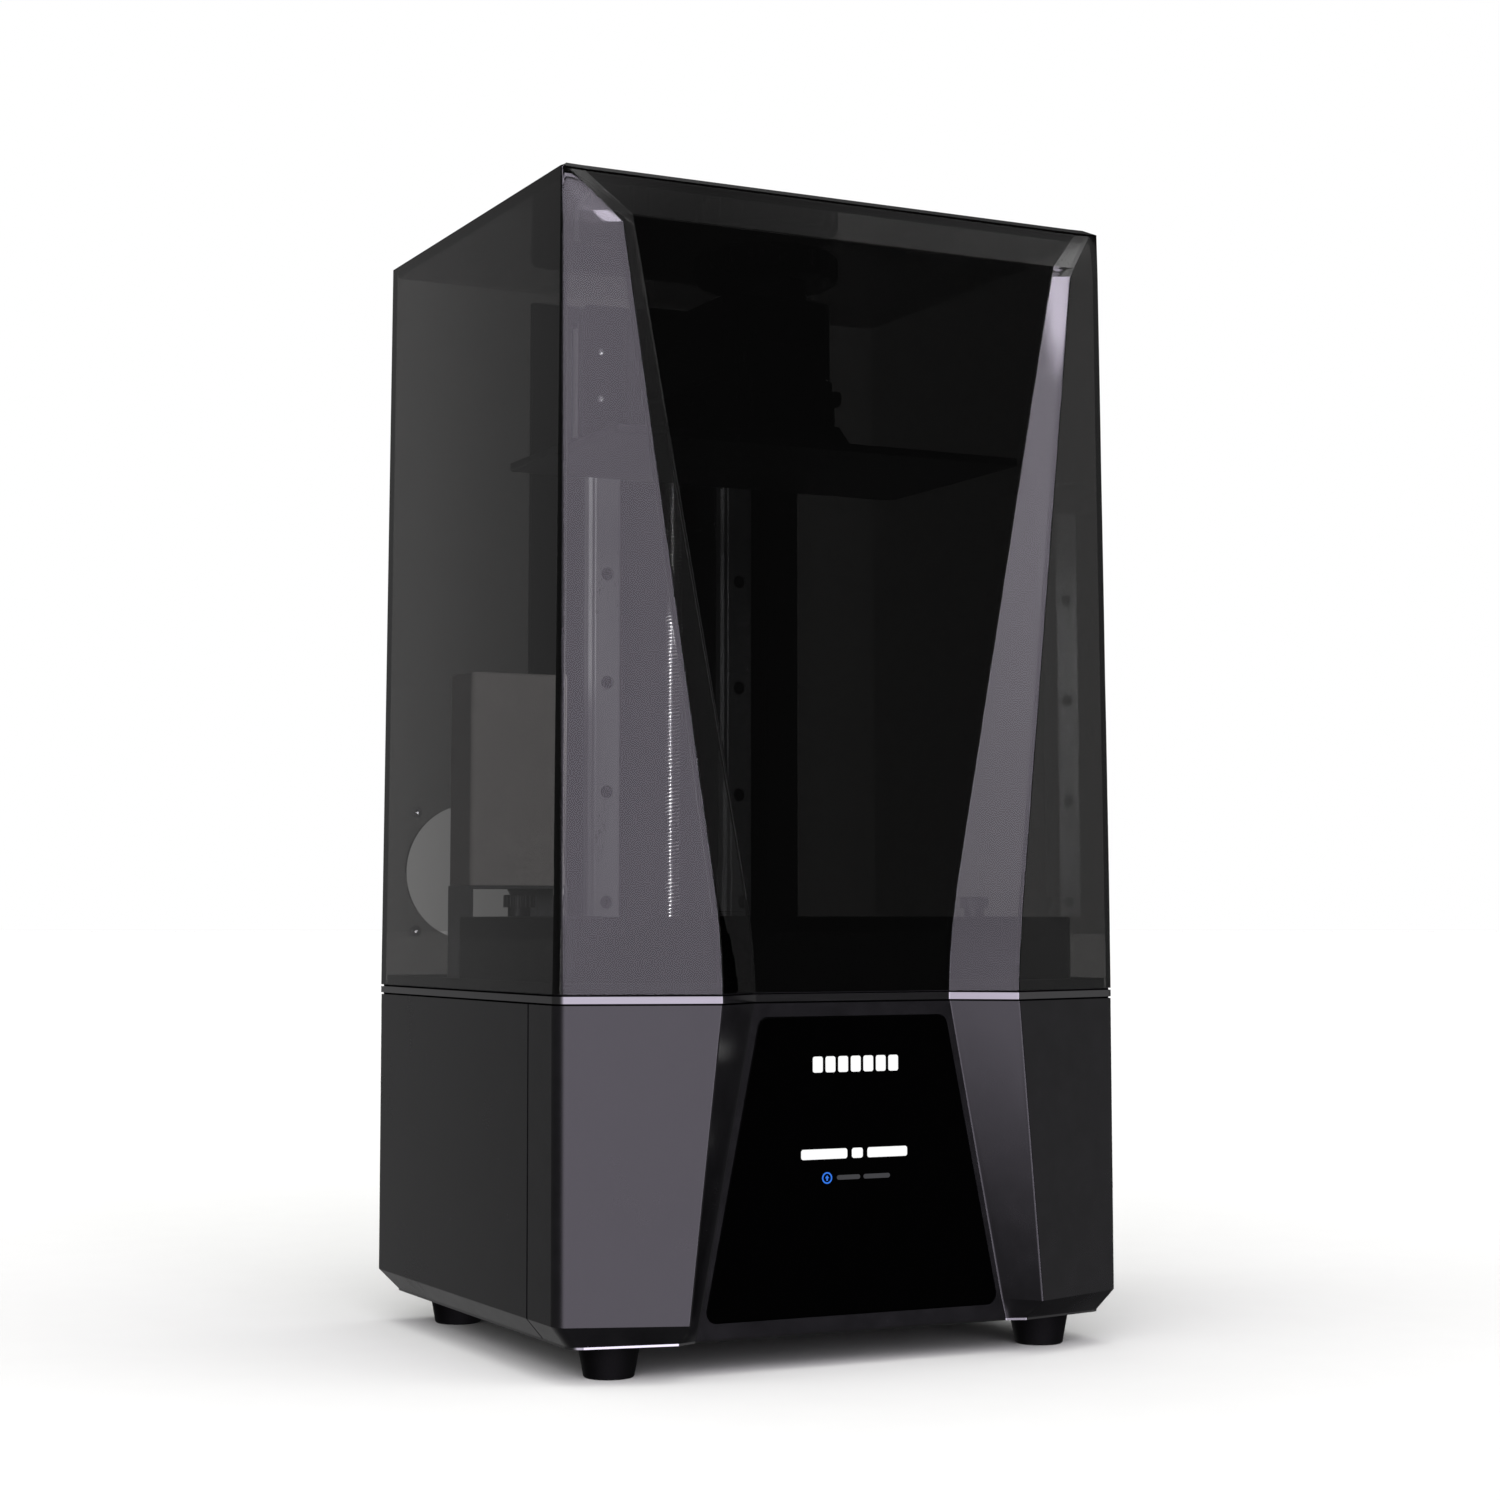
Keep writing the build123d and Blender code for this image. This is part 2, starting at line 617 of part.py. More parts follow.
def power_rocker():
    """Rocker and its pin."""
    with BuildPart() as rocker:
        with BuildSketch(at_x(SWITCH_X - 7.7, Y_BACK, REAR_Z)):
            with BuildLine():
                Polyline((-0.25, -4.2), (-1.5, 0), (-0.25, 4.2), (-6.5, 3.4), (-6.5, -3.4),
                         close=True)
            make_face()
        extrude(amount=2 * 7.7)
        with BuildSketch(at_x(SWITCH_X - 9, PIN_Y, REAR_Z)):
            Circle(1.2)
        extrude(amount=2 * 9)
    return rocker


def usb_socket():
    """Open box with a tongue, closed at its inner end."""
    with BuildPart() as socket:
        with BuildSketch(at_x(HALF_W - 0.7, USB_Y, USB_Z)):
            Rectangle(USB_W, USB_H)
            Rectangle(12.4, 5.2, mode=Mode.SUBTRACT)
        extrude(amount=-14)
        with BuildSketch(at_x(HALF_W - 1.2, USB_Y, USB_Z + 1.2)):
            Rectangle(11.4, 1.8)
        extrude(amount=-13.3)
        with BuildSketch(at_x(HALF_W - 14.3, USB_Y, USB_Z)):
            Rectangle(USB_W, USB_H)
        extrude(amount=-1.5)
    return socket


# ================================================================= the tower
COLUMN_W, COLUMN_D = 140.0, 18
FASCIA_X = 80           # half width of the fascia and the cap
FASCIA_Y0, FASCIA_Y1 = 99.9, 101.7      # front and back of its front strips
FASCIA_SIDE_Y = 103.6   # back edge of its side returns
CAP_OUTLINE = [(-FASCIA_X, FASCIA_Y0), (-26, FASCIA_Y0), (-20, 84), (20, 84), (26, FASCIA_Y0),
               (FASCIA_X, FASCIA_Y0), (FASCIA_X, FASCIA_SIDE_Y), (70, 126.2), (-70, 126.2),
               (-FASCIA_X, FASCIA_SIDE_Y)]
# half profile of a rail: (distance from its centre line, y)
RAIL_PROFILE = [(7.5, RAIL_Y1), (7.5, RAIL_Y1 - 5.6), (5.9, RAIL_Y1 - 7.2),
                (5.9, RAIL_Y1 - 8.8), (7.5, RAIL_Y1 - 10.8), (7.5, RAIL_Y0 + 0.6),
                (6.9, RAIL_Y0)]
RAIL_HOLES = [(x, 221 + 60 * i) for x in (-RAIL_X, RAIL_X) for i in range(6)]   # (x, z)

BEARING_BORE_R = 4.06   # also the bore of the lead-screw nut
MOTOR_SIDE = 42.3
Z_MOTOR, Z_MOTOR_TOP = 92, 132
Z_BRACKET, BRACKET_T = 134.05, 3
BRACKET_W, BRACKET_D = 62, 46
LEAD_SCREW_R, SHAFT_R = 4.0, 2.5
Z_COUPLER, Z_LEAD_SCREW = 138, 150
COUPLER_R = 9.5


def tower_column():
    """U-shaped column, open at the back, with tapped holes for the rails."""
    with BuildPart() as column:
        with BuildSketch(at_z(Z_DECK)):
            with Locations((0, RAIL_Y1 + COLUMN_D / 2)):
                Rectangle(COLUMN_W, COLUMN_D)
            with Locations((0, RAIL_Y1 + 13)):
                Rectangle(COLUMN_W - 12, 10.1, mode=Mode.SUBTRACT)
        extrude(amount=Z_TOWER - Z_DECK)
        with BuildSketch(at_y(RAIL_Y1 - 1)):
            with Locations(*RAIL_HOLES):
                Circle(2.05)
        extrude(amount=-10, mode=Mode.SUBTRACT)
    return column


def tower_fascia():
    """Folded strips beside the rails, joined by a bar at the foot."""
    with BuildPart() as fascia:
        with BuildSketch(at_z(Z_DECK)):
            with BuildLine():
                Polyline((-FASCIA_X, FASCIA_Y0), (-59.5, FASCIA_Y0), (-59.5, FASCIA_Y1),
                         (-62, FASCIA_Y1), (-62, RAIL_Y1), (-64, RAIL_Y1), (-64, FASCIA_Y1),
                         (-78.4, FASCIA_Y1), (-78.4, FASCIA_SIDE_Y),
                         (-FASCIA_X, FASCIA_SIDE_Y), close=True)
            make_face()
            mirror(about=Plane.YZ)
        extrude(amount=Z_TOWER - Z_DECK)
        with BuildSketch(at_y(FASCIA_Y1, z=179.5)):
            Rectangle(120, 5.4)
        extrude(amount=FASCIA_Y1 - FASCIA_Y0)
    return fascia


def tower_cap():
    """Cap with a bearing bore in its lower layer and a closed, chamfered top layer."""
    lower_t = 7.0
    with BuildPart() as cap:
        with BuildSketch(at_z(Z_TOWER)):
            with BuildLine():
                Polyline(*CAP_OUTLINE, close=True)
            make_face()
            with Locations((0, SCREW_Y)):
                Circle(8.05, mode=Mode.SUBTRACT)
        extrude(amount=lower_t)
        with BuildSketch(at_z(Z_TOWER + lower_t)):
            with BuildLine():
                Polyline(*CAP_OUTLINE, close=True)
            make_face()
        extrude(amount=2.6)
        chamfer(cap.faces().sort_by(Axis.Z)[-1].edges(), 0.8)
    return cap


def linear_rails():
    """Two grooved rails with counterbored screw holes."""
    with BuildPart() as rails:
        for rail_x in (-RAIL_X, RAIL_X):
            left = [(rail_x - x, y) for x, y in RAIL_PROFILE]
            right = [(rail_x + x, y) for x, y in reversed(RAIL_PROFILE)]
            with BuildSketch(at_z(182.5)):
                with BuildLine():
                    Polyline(*left, *right, close=True)
                make_face()
            extrude(amount=358.0)
        for radius, depth in ((2.25, 20), (3.75, 6.3)):
            with BuildSketch(at_y(RAIL_Y0 - 1)):
                with Locations(*RAIL_HOLES):
                    Circle(radius)
            extrude(amount=-depth, mode=Mode.SUBTRACT)
    return rails


def rail_screws():
    return socket_screws(RAIL_HOLES, head_r=3.5, hex_r=1.5,
                         head_y=(RAIL_Y0 + 1.3, RAIL_Y0 + 5.2),
                         shank_r=2.0, shank_y=(RAIL_Y0 + 4.0, RAIL_Y0 + 21.0))


def screw_bearings():
    """Bearings in the deck and the tower cap, each with a ring groove on top."""
    with BuildPart() as bearings:
        for z in (Z_WAIST, Z_TOWER + 0.5):
            with BuildSketch(at_z(z, y=SCREW_Y)):
                Circle(8.0)
                Circle(BEARING_BORE_R, mode=Mode.SUBTRACT)
            extrude(amount=5.0)
            with BuildSketch(at_z(z + 4.4, y=SCREW_Y)):
                Circle(7.0)
                Circle(5.2, mode=Mode.SUBTRACT)
            extrude(amount=1.0, mode=Mode.SUBTRACT)
    return bearings


def z_motor():
    """Square motor with cut corners, a round boss and a shaft bore."""
    with BuildPart() as motor:
        with BuildSketch(at_z(Z_MOTOR, y=SCREW_Y)):
            Rectangle(MOTOR_SIDE, MOTOR_SIDE)
            with GridLocations(MOTOR_SIDE, MOTOR_SIDE, 2, 2):
                Rectangle(6, 6, rotation=45, mode=Mode.SUBTRACT)
        extrude(amount=Z_MOTOR_TOP - Z_MOTOR)
        with BuildSketch(at_z(Z_MOTOR_TOP, y=SCREW_Y)):
            Circle(11)
        extrude(amount=2)
        with BuildSketch(at_z(Z_MOTOR + 20, y=SCREW_Y)):
            Circle(SHAFT_R + 0.06)
        extrude(amount=30, mode=Mode.SUBTRACT)
    return motor


def motor_bracket():
    """Plate over the motor with two cheeks up to the deck."""
    plate_top = Z_BRACKET + BRACKET_T
    cheek_x = (BRACKET_W - BRACKET_T) / 2
    with BuildPart() as bracket:
        with BuildSketch(at_z(Z_BRACKET, y=SCREW_Y)):
            Rectangle(BRACKET_W, BRACKET_D)
            Circle(12, mode=Mode.SUBTRACT)
        extrude(amount=BRACKET_T)
        with BuildSketch(at_z(plate_top, y=SCREW_Y)):
            with Locations((-cheek_x, 0), (cheek_x, 0)):
                Rectangle(BRACKET_T, BRACKET_D)
        extrude(amount=Z_WAIST - plate_top - 0.05)
    return bracket


def limit_sensor():
    """Forked light gate low on the column, open towards the front."""
    with BuildPart() as sensor:
        with BuildSketch(at_z(188, 54.5, 102.2)):
            Rectangle(9.6, 12.0)
            with Locations((0, -3.0)):
                Rectangle(2.6, 8, mode=Mode.SUBTRACT)
        extrude(amount=10)
    return sensor


def lead_screw():
    with BuildPart() as screw:
        with BuildSketch(at_z(Z_LEAD_SCREW, y=SCREW_Y)):
            Circle(LEAD_SCREW_R)
        extrude(amount=396.5)
        chamfer(screw.faces().sort_by(Axis.Z)[-1].edges(), 0.8)
    return screw


def motor_shaft():
    with BuildPart() as shaft:
        with BuildSketch(at_z(114, y=SCREW_Y)):
            Circle(SHAFT_R)
        extrude(amount=35.5)
    return shaft


def shaft_coupler():
    """Sleeve on motor shaft and lead screw, with a radial hole for each."""
    with BuildPart() as coupler:
        # (underside, height, bore radius)
        for z, height, bore_r in ((Z_COUPLER, Z_LEAD_SCREW - Z_COUPLER, SHAFT_R),
                                  (Z_LEAD_SCREW, 13, LEAD_SCREW_R)):
            with BuildSketch(at_z(z, y=SCREW_Y)):
                Circle(COUPLER_R)
                Circle(bore_r, mode=Mode.SUBTRACT)
            extrude(amount=height)
        for z in (Z_LEAD_SCREW - 7, Z_LEAD_SCREW + 7):
            with BuildSketch(at_x(0, SCREW_Y, z)):
                Circle(1.6)
            extrude(amount=12, mode=Mode.SUBTRACT)
    return coupler


# ================================================================= carriage
# heights are those with the axis at its upper end
BLOCK_Z0, BLOCK_Z1 = 477.0, 538.0
BLOCK_Y0, BLOCK_Y1 = 80.25, 103.9
BLOCK_W = 34
BLOCK_SCREWS = [place for x in (-RAIL_X, RAIL_X)
                for place in rectangle_corners(x, (BLOCK_Z0 + BLOCK_Z1) / 2, 26, 26)]
CARRIAGE_Y = 80.2       # back face of the carriage plate
Z_NUT, NUT_FLANGE_T = 477.4, 3.5


def rail_blocks():
    slot_y0, slot_y1 = RAIL_Y0 - 0.12, 104.5
    with BuildPart() as blocks:
        for x in (-RAIL_X, RAIL_X):
            with BuildSketch(at_z(BLOCK_Z0)):
                with Locations((x, (BLOCK_Y0 + BLOCK_Y1) / 2)):
                    Rectangle(BLOCK_W, BLOCK_Y1 - BLOCK_Y0)
                with Locations((x, (slot_y0 + slot_y1) / 2)):
                    Rectangle(15.24, slot_y1 - slot_y0, mode=Mode.SUBTRACT)
                # bevel the two front edges
                with Locations((x - BLOCK_W / 2, BLOCK_Y0), (x + BLOCK_W / 2, BLOCK_Y0)):
                    Rectangle(2.4, 2.4, rotation=45, mode=Mode.SUBTRACT)
            extrude(amount=BLOCK_Z1 - BLOCK_Z0)
        with BuildSketch(at_y(BLOCK_Y0 - 1)):
            with Locations(*BLOCK_SCREWS):
                Circle(1.75)
        extrude(amount=-9, mode=Mode.SUBTRACT)
    return blocks


def carriage_plate():
    bracket_back = 105.4
    with BuildPart() as plate:
        with BuildSketch(at_y(CARRIAGE_Y)):
            with Locations((0, 508)):
                RectangleRounded(128, 76, 5)
            with Locations(*BLOCK_SCREWS):
                Circle(2.2, mode=Mode.SUBTRACT)
        extrude(amount=6.0)
        with BuildSketch(at_y(74.3)):
            with Locations(*BLOCK_SCREWS):
                Circle(3.6)
        extrude(amount=-3.2, mode=Mode.SUBTRACT)
        # bracket for the lead-screw nut, reaching back between the rails
        with BuildSketch(at_z(481)):
            with Locations((0, (CARRIAGE_Y + bracket_back) / 2)):
                Rectangle(30, bracket_back - CARRIAGE_Y)
            with Locations((0, SCREW_Y)):
                Circle(6.1, mode=Mode.SUBTRACT)
        extrude(amount=20)
    return plate


def carriage_screws():
    return socket_screws(BLOCK_SCREWS, head_r=3.3, hex_r=1.6, head_y=(74.6, 77.4),
                         shank_r=1.7, shank_y=(77.0, 86.0))


def lead_nut():
    with BuildPart() as nut:
        with BuildSketch(at_z(Z_NUT, y=SCREW_Y)):
            Circle(10.5)
            Circle(BEARING_BORE_R, mode=Mode.SUBTRACT)
            with PolarLocations(8.1, 4, start_angle=45):
                Circle(1.3, mode=Mode.SUBTRACT)
        extrude(amount=NUT_FLANGE_T)
        with BuildSketch(at_z(Z_NUT + NUT_FLANGE_T, y=SCREW_Y)):
            Circle(6.0)
            Circle(BEARING_BORE_R, mode=Mode.SUBTRACT)
        extrude(amount=16)
    return nut


def limit_flag():
    """Angle under the right rail block that enters the limit sensor."""
    flag_y, flag_d = 97.0, 9
    with BuildPart() as flag:
        with BuildSketch(at_x(54.0, flag_y, 468.4)):
            Rectangle(flag_d, 17)
        extrude(amount=1.0)
        with BuildSketch(at_z(474.9, 51.5, flag_y)):
            Rectangle(7, flag_d)
        extrude(amount=2.0)
    return flag


# ============================================================ build platform
Z_PLATE = 446.0         # underside of the build plate
PLATE_T = 4.0
Z_PAD = Z_PLATE + 6.0   # top of the raised pad on the build plate
PLATE_W, PLATE_D = 227.5, 134.0
ARM_Z0, ARM_Z1 = 493.0, 533.0
STUD_R = 5.0
KNOB_R = 38.2
Z_KNOB = 544.0
Z_HEAD = 464.5          # top of the sloped foot of the platform head
# tiers of the head: (underside, height, width, depth)
HEAD_TIERS = [(Z_HEAD, 12.0, 50.2, 62.8), (476.5, 12.5, 50.2, 58.0), (489.0, 19.9, 50, 46)]
SIDE_SCREW_Y = (ENGINE_Y - 24, ENGINE_Y + 24)
SIDE_SCREW_Z = 481
FRONT_SCREWS = [(-11.9, 468.9), (11.9, 468.9)]      # (x, z)


def platform_arm():
    with BuildPart() as arm:
        # vertical foot of the arm against the carriage plate
        with BuildSketch(at_y(74.15, z=511)):
            RectangleRounded(76, 62, 4)
        extrude(amount=9)
        with BuildSketch(at_z(ARM_Z0)):
            with BuildLine():
                Polyline((-31, 70), (-31, -31), (-25, -37), (25, -37), (31, -31), (31, 70),
                         close=True)
            make_face()
        extrude(amount=ARM_Z1 - ARM_Z0)
        # downward-open channel over the platform head, and a pocket behind it
        with Locations((0, ENGINE_Y + 4, ARM_Z0 + 8)):
            Box(50.4, 70, 16.2, mode=Mode.SUBTRACT)
        with Locations((0, 44, ARM_Z0 + 4)):
            Box(50.4, 26, 30, mode=Mode.SUBTRACT)
        chamfer(arm.faces().sort_by(Axis.Y)[0].edges().filter_by(Axis.X), 1.5)
        with Locations((0, ENGINE_Y, 520)):
            Cylinder(STUD_R + 0.2, 60, mode=Mode.SUBTRACT)
    return arm


def platform_head():
    """Stepped block below the arm, its top tier inside the arm channel."""
    screw_hole_r = 2.6
    with BuildPart() as head:
        for z, height, width, depth in HEAD_TIERS:
            with BuildSketch(at_z(z, y=ENGINE_Y)):
                RectangleRounded(width, depth, 3)
            extrude(amount=height)
        # sloped foot that meets the plate
        with BuildSketch(at_z(Z_PAD, y=ENGINE_Y)):
            RectangleRounded(66, 78, 3)
        with BuildSketch(at_z(Z_HEAD, y=ENGINE_Y)):
            RectangleRounded(53, 69, 3)
        loft(ruled=True)
        with Locations((0, ENGINE_Y, 500)):
            Cylinder(STUD_R + 0.2, 40, mode=Mode.SUBTRACT)
        for side in (-1, 1):
            with BuildSketch(at_x(side * 40)):
                with Locations(*[(y, SIDE_SCREW_Z) for y in SIDE_SCREW_Y]):
                    Circle(screw_hole_r)
            extrude(amount=-side * 24, mode=Mode.SUBTRACT)
        with BuildSketch(at_y(-60)):
            with Locations(*FRONT_SCREWS):
                Circle(screw_hole_r)
        extrude(amount=-20, mode=Mode.SUBTRACT)
    return head


def build_plate():
    with BuildPart() as plate:
        with BuildSketch(at_z(Z_PLATE, y=ENGINE_Y)):
            RectangleRounded(PLATE_W, PLATE_D, 3)
        extrude(amount=PLATE_T)
        # raised pad on the upper side
        with BuildSketch(at_z(Z_PLATE + PLATE_T, y=ENGINE_Y)):
            RectangleRounded(120, 98, 4)
        extrude(amount=Z_PAD - Z_PLATE - PLATE_T)
        chamfer(plate.faces().sort_by(Axis.Z)[0].edges(), 0.6)
    return plate


def platform_screws():
    """Levelling screws in the sides and front of the head, fixing screws on the pad."""
    shank_r = 2.5
    with BuildPart() as screws:
        for side in (-1, 1):
            for y in SIDE_SCREW_Y:
                with BuildSketch(at_x(side * 25.2, y, SIDE_SCREW_Z)):
                    Circle(4.3)
                    RegularPolygon(2.0, 6, mode=Mode.SUBTRACT)
                extrude(amount=side * 4.5)
                with BuildSketch(at_x(side * 17.5, y, SIDE_SCREW_Z)):
                    Circle(shank_r)
                extrude(amount=side * 8.5)
        with BuildSketch(at_y(-49.5)):
            with Locations(*FRONT_SCREWS):
                Circle(4.0)
                RegularPolygon(1.9, 6, mode=Mode.SUBTRACT)
        extrude(amount=3.0)
        with BuildSketch(at_y(-42.0)):
            with Locations(*FRONT_SCREWS):
                Circle(shank_r)
        extrude(amount=8.0)
        with BuildSketch(at_z(Z_PAD, y=ENGINE_Y)):
            with GridLocations(112, 84, 2, 2):
                Circle(2.9)
                RegularPolygon(1.4, 6, mode=Mode.SUBTRACT)
        extrude(amount=2.4)
    return screws


def clamp_knob():
    """Fluted knob on a collar, bored for the stud."""
    with BuildPart() as knob:
        with BuildSketch(at_z(Z_KNOB, y=ENGINE_Y)):
            Circle(KNOB_R)
            with PolarLocations(KNOB_R + 3.3, 18):
                Circle(5.0, mode=Mode.SUBTRACT)
        extrude(amount=14.5)
        chamfer(knob.faces().sort_by(Axis.Z)[-1].edges(), 2.4)
        chamfer(knob.faces().sort_by(Axis.Z)[0].edges(), 2.4)
        with BuildSketch(at_z(ARM_Z1 + 0.4, y=ENGINE_Y)):
            Circle(21.2)
            Circle(STUD_R, mode=Mode.SUBTRACT)
        extrude(amount=10.7)
        with BuildSketch(at_z(ARM_Z1, y=ENGINE_Y)):
            Circle(STUD_R)
        extrude(amount=14, mode=Mode.SUBTRACT)
    return knob


def clamp_stud():
    with BuildPart() as stud:
        with BuildSketch(at_z(482.0, y=ENGINE_Y)):
            Circle(STUD_R)
        extrude(amount=65.0)
        chamfer(stud.faces().sort_by(Axis.Z)[0].edges(), 1.0)
    return stud


# ===================================================================== vat
VAT_W, VAT_D = 274.0, 159.0
Z_VAT0, Z_VAT1 = 180.0, 213.0


def vat_frame():
    with BuildPart() as frame:
        with BuildSketch(at_z(Z_VAT0, y=ENGINE_Y)):
            RectangleRounded(VAT_W, VAT_D, 10)
        extrude(amount=Z_VAT1 - Z_VAT0)
        # slanted cavity walls
        with BuildSketch(at_z(Z_VAT0 - 1, y=ENGINE_Y)):
            RectangleRounded(240, 138, 8)
        with BuildSketch(at_z(Z_VAT1 + 1, y=ENGINE_Y)):
            RectangleRounded(248, 144, 10)
        loft(ruled=True, mode=Mode.SUBTRACT)
        # recess for the film clamp ring on the underside
        with BuildSketch(at_z(Z_VAT0 - 0.01, y=ENGINE_Y)):
            RectangleRounded(252, 150, 9)
        extrude(amount=2.6, mode=Mode.SUBTRACT)
        # four moulded pads that stand on the deck beside the screen
        with BuildSketch(at_z(Z_STAND, y=ENGINE_Y)):
            with GridLocations(262.4, 104, 2, 2):
                RectangleRounded(8, 30, 3)
        extrude(amount=Z_VAT0 + 0.05 - Z_STAND)
        # pouring notch at the front-left corner and screw passages
        with BuildSketch(at_z(Z_VAT1 - 3)):
            with Locations((-118, ENGINE_Y - VAT_D / 2 + 4)):
                Rectangle(16, 14, rotation=40)
        extrude(amount=6, mode=Mode.SUBTRACT)
        with BuildSketch(at_z(Z_VAT0 - 1)):
            with Locations(*VAT_SCREWS):
                Circle(3.0)
        extrude(amount=40, mode=Mode.SUBTRACT)
        chamfer(frame.faces().sort_by(Axis.Z)[-1].edges().filter_by(GeomType.LINE), 0.6)
    return frame


def vat_film():
    with BuildPart() as film:
        with BuildSketch(at_z(Z_VAT0 + 2.0, y=ENGINE_Y)):
            RectangleRounded(251, 149, 8.5)
        extrude(amount=0.4)
    return film


def film_ring():
    with BuildPart() as ring:
        with BuildSketch(at_z(Z_VAT0 + 0.05, y=ENGINE_Y)):
            RectangleRounded(251.4, 149.4, 8.6)
            RectangleRounded(239, 137, 8, mode=Mode.SUBTRACT)
        extrude(amount=1.9)
    return ring


def vat_thumbscrew(x, y):
    """Fluted head, plain collar and shank down through the deck."""
    with BuildPart() as thumbscrew:
        with BuildSketch(at_z(Z_VAT1 + 4.5, x, y)):
            Circle(7.8)
            with PolarLocations(8.1, 20):
                Circle(0.75, mode=Mode.SUBTRACT)
        extrude(amount=6.2)
        chamfer(thumbscrew.faces().sort_by(Axis.Z)[-1].edges(), 0.5)
        with BuildSketch(at_z(Z_VAT1 + 0.05, x, y)):
            Circle(5.6)
        extrude(amount=4.5)
        with BuildSketch(at_z(Z_WAIST - 5, x, y)):
            Circle(2.5)
        extrude(amount=Z_VAT1 - Z_WAIST + 6)
    return thumbscrew


# ============================================================ air purifier
CASE_X0, CASE_X1 = -126.5, -75.0
CASE_Y0, CASE_Y1 = 65.5, 98.5
CASE_Z0, CASE_Z1 = 229.5, 341.5
CASE_W, CASE_D = CASE_X1 - CASE_X0, CASE_Y1 - CASE_Y0
CASE_X, CASE_Y = (CASE_X0 + CASE_X1) / 2, (CASE_Y0 + CASE_Y1) / 2


def purifier_bracket():
    """Bent steel stand: two side plates with feet turned inwards, and a shelf."""
    steel_t, foot_w = 1.6, 16
    inner_x0, inner_x1 = CASE_X0 + steel_t, CASE_X1 - steel_t
    shelf_top, shelf_z = CASE_Z0 - 0.1, CASE_Z0 - 1.7
    foot_top = Z_STAND + steel_t
    gussets = [[(inner_x0, shelf_z), (inner_x0, CASE_Z0 - 16), (CASE_X0 + 8, shelf_z)],
               [(inner_x1, shelf_z), (inner_x1, CASE_Z0 - 30), (CASE_X1 - 18, shelf_z)]]
    with BuildPart() as bracket:
        with BuildSketch(at_y(CASE_Y1)):
            with BuildLine():
                Polyline((CASE_X0, Z_STAND), (CASE_X0, shelf_top), (CASE_X1, shelf_top),
                         (CASE_X1, Z_STAND), (CASE_X1 - foot_w, Z_STAND),
                         (CASE_X1 - foot_w, foot_top), (inner_x1, foot_top),
                         (inner_x1, shelf_z), (inner_x0, shelf_z), (inner_x0, foot_top),
                         (CASE_X0 + foot_w, foot_top), (CASE_X0 + foot_w, Z_STAND),
                         close=True)
            make_face()
        extrude(amount=CASE_D)
        # sloped gussets under the shelf
        with BuildSketch(at_y(CASE_Y1)):
            for gusset in gussets:
                with BuildLine():
                    Polyline(*gusset, close=True)
                make_face()
        extrude(amount=2.0)
    return bracket


def purifier_case():
    with BuildPart() as case:
        with Locations((CASE_X, CASE_Y, (CASE_Z0 + CASE_Z1) / 2)):
            Box(CASE_W, CASE_D, CASE_Z1 - CASE_Z0)
        fillet(case.edges().filter_by(Axis.Z), 3.0)
        fillet(case.faces().sort_by(Axis.Z)[-1].edges(), 1.5)
        # lower chamber for the filter, upper duct for the fan, divider between them
        with Locations((CASE_X, CASE_Y, CASE_Z0 + 2.4 + 42)):
            Box(CASE_W - 5, CASE_D - 5, 84, mode=Mode.SUBTRACT)
        with Locations((CASE_X, CASE_Y, CASE_Z1 - 12)):
            Cylinder(13.5, 26, mode=Mode.SUBTRACT)
        # fan spider and its pin
        with BuildSketch(at_z(CASE_Z1 - 23, CASE_X, CASE_Y)):
            Circle(4.6)
            with PolarLocations(9.2, 3):
                Rectangle(10.4, 2.2)
        extrude(amount=2.4)
        with BuildSketch(at_z(CASE_Z1 - 20.6, CASE_X, CASE_Y)):
            Circle(1.5)
        extrude(amount=2.6)
        # intake slots in the back
        with BuildSketch(at_y(CASE_Y1 + 1, CASE_X, CASE_Z0 + 36)):
            with GridLocations(0, 6, 1, 8):
                SlotOverall(38, 2.4)
        extrude(amount=5, mode=Mode.SUBTRACT)
    return case


def purifier_filter():
    with BuildPart() as block:
        with BuildSketch(at_z(CASE_Z0 + 2.6, CASE_X, CASE_Y)):
            RectangleRounded(CASE_W - 5.6, CASE_D - 5.6, 2)
        extrude(amount=62)
    return block


def purifier_fan_rotor():
    """Hub with a blind bore for the spider pin, and blades."""
    hub_r, hub_z, bore_depth = 5, CASE_Z1 - 20.2, 3
    with BuildPart() as rotor:
        with BuildSketch(at_z(hub_z, CASE_X, CASE_Y)):
            Circle(hub_r)
            Circle(1.6, mode=Mode.SUBTRACT)
        extrude(amount=bore_depth)
        with BuildSketch(at_z(hub_z + bore_depth, CASE_X, CASE_Y)):
            Circle(hub_r)
        extrude(amount=7)
        fan_blades(at_z(CASE_Z1 - 18.5, CASE_X, CASE_Y), count=7, rise=7, twist=22,
                   middle_r=8.4, length=8.0, thickness=1.2)
    return rotor


# ==================================================================== cover
VENT_X, VENT_Z, VENT_R = -101.0, 237.5, 37.0
VENT_SCREWS = rectangle_corners(VENT_X, VENT_Z, 64, 64)


def cover_shell():
    with BuildPart() as shell:
        stack(COVER_ZS)
        # the cavity runs 1 mm past both open ends
        cavity_zs = [(Z_COVER - 1, Z_COVER), *COVER_ZS[1:-1], (Z_RIM + 1, Z_RIM)]
        stack(cavity_zs, COVER_T, mode=Mode.SUBTRACT)
        # round vent port low in the back wall, with its four screw holes
        with BuildSketch(at_y(Y_BACK + 2)):
            with Locations((VENT_X, VENT_Z)):
                Circle(VENT_R)
            with Locations(*VENT_SCREWS):
                Circle(1.7)
        extrude(amount=10, mode=Mode.SUBTRACT)
    return shell


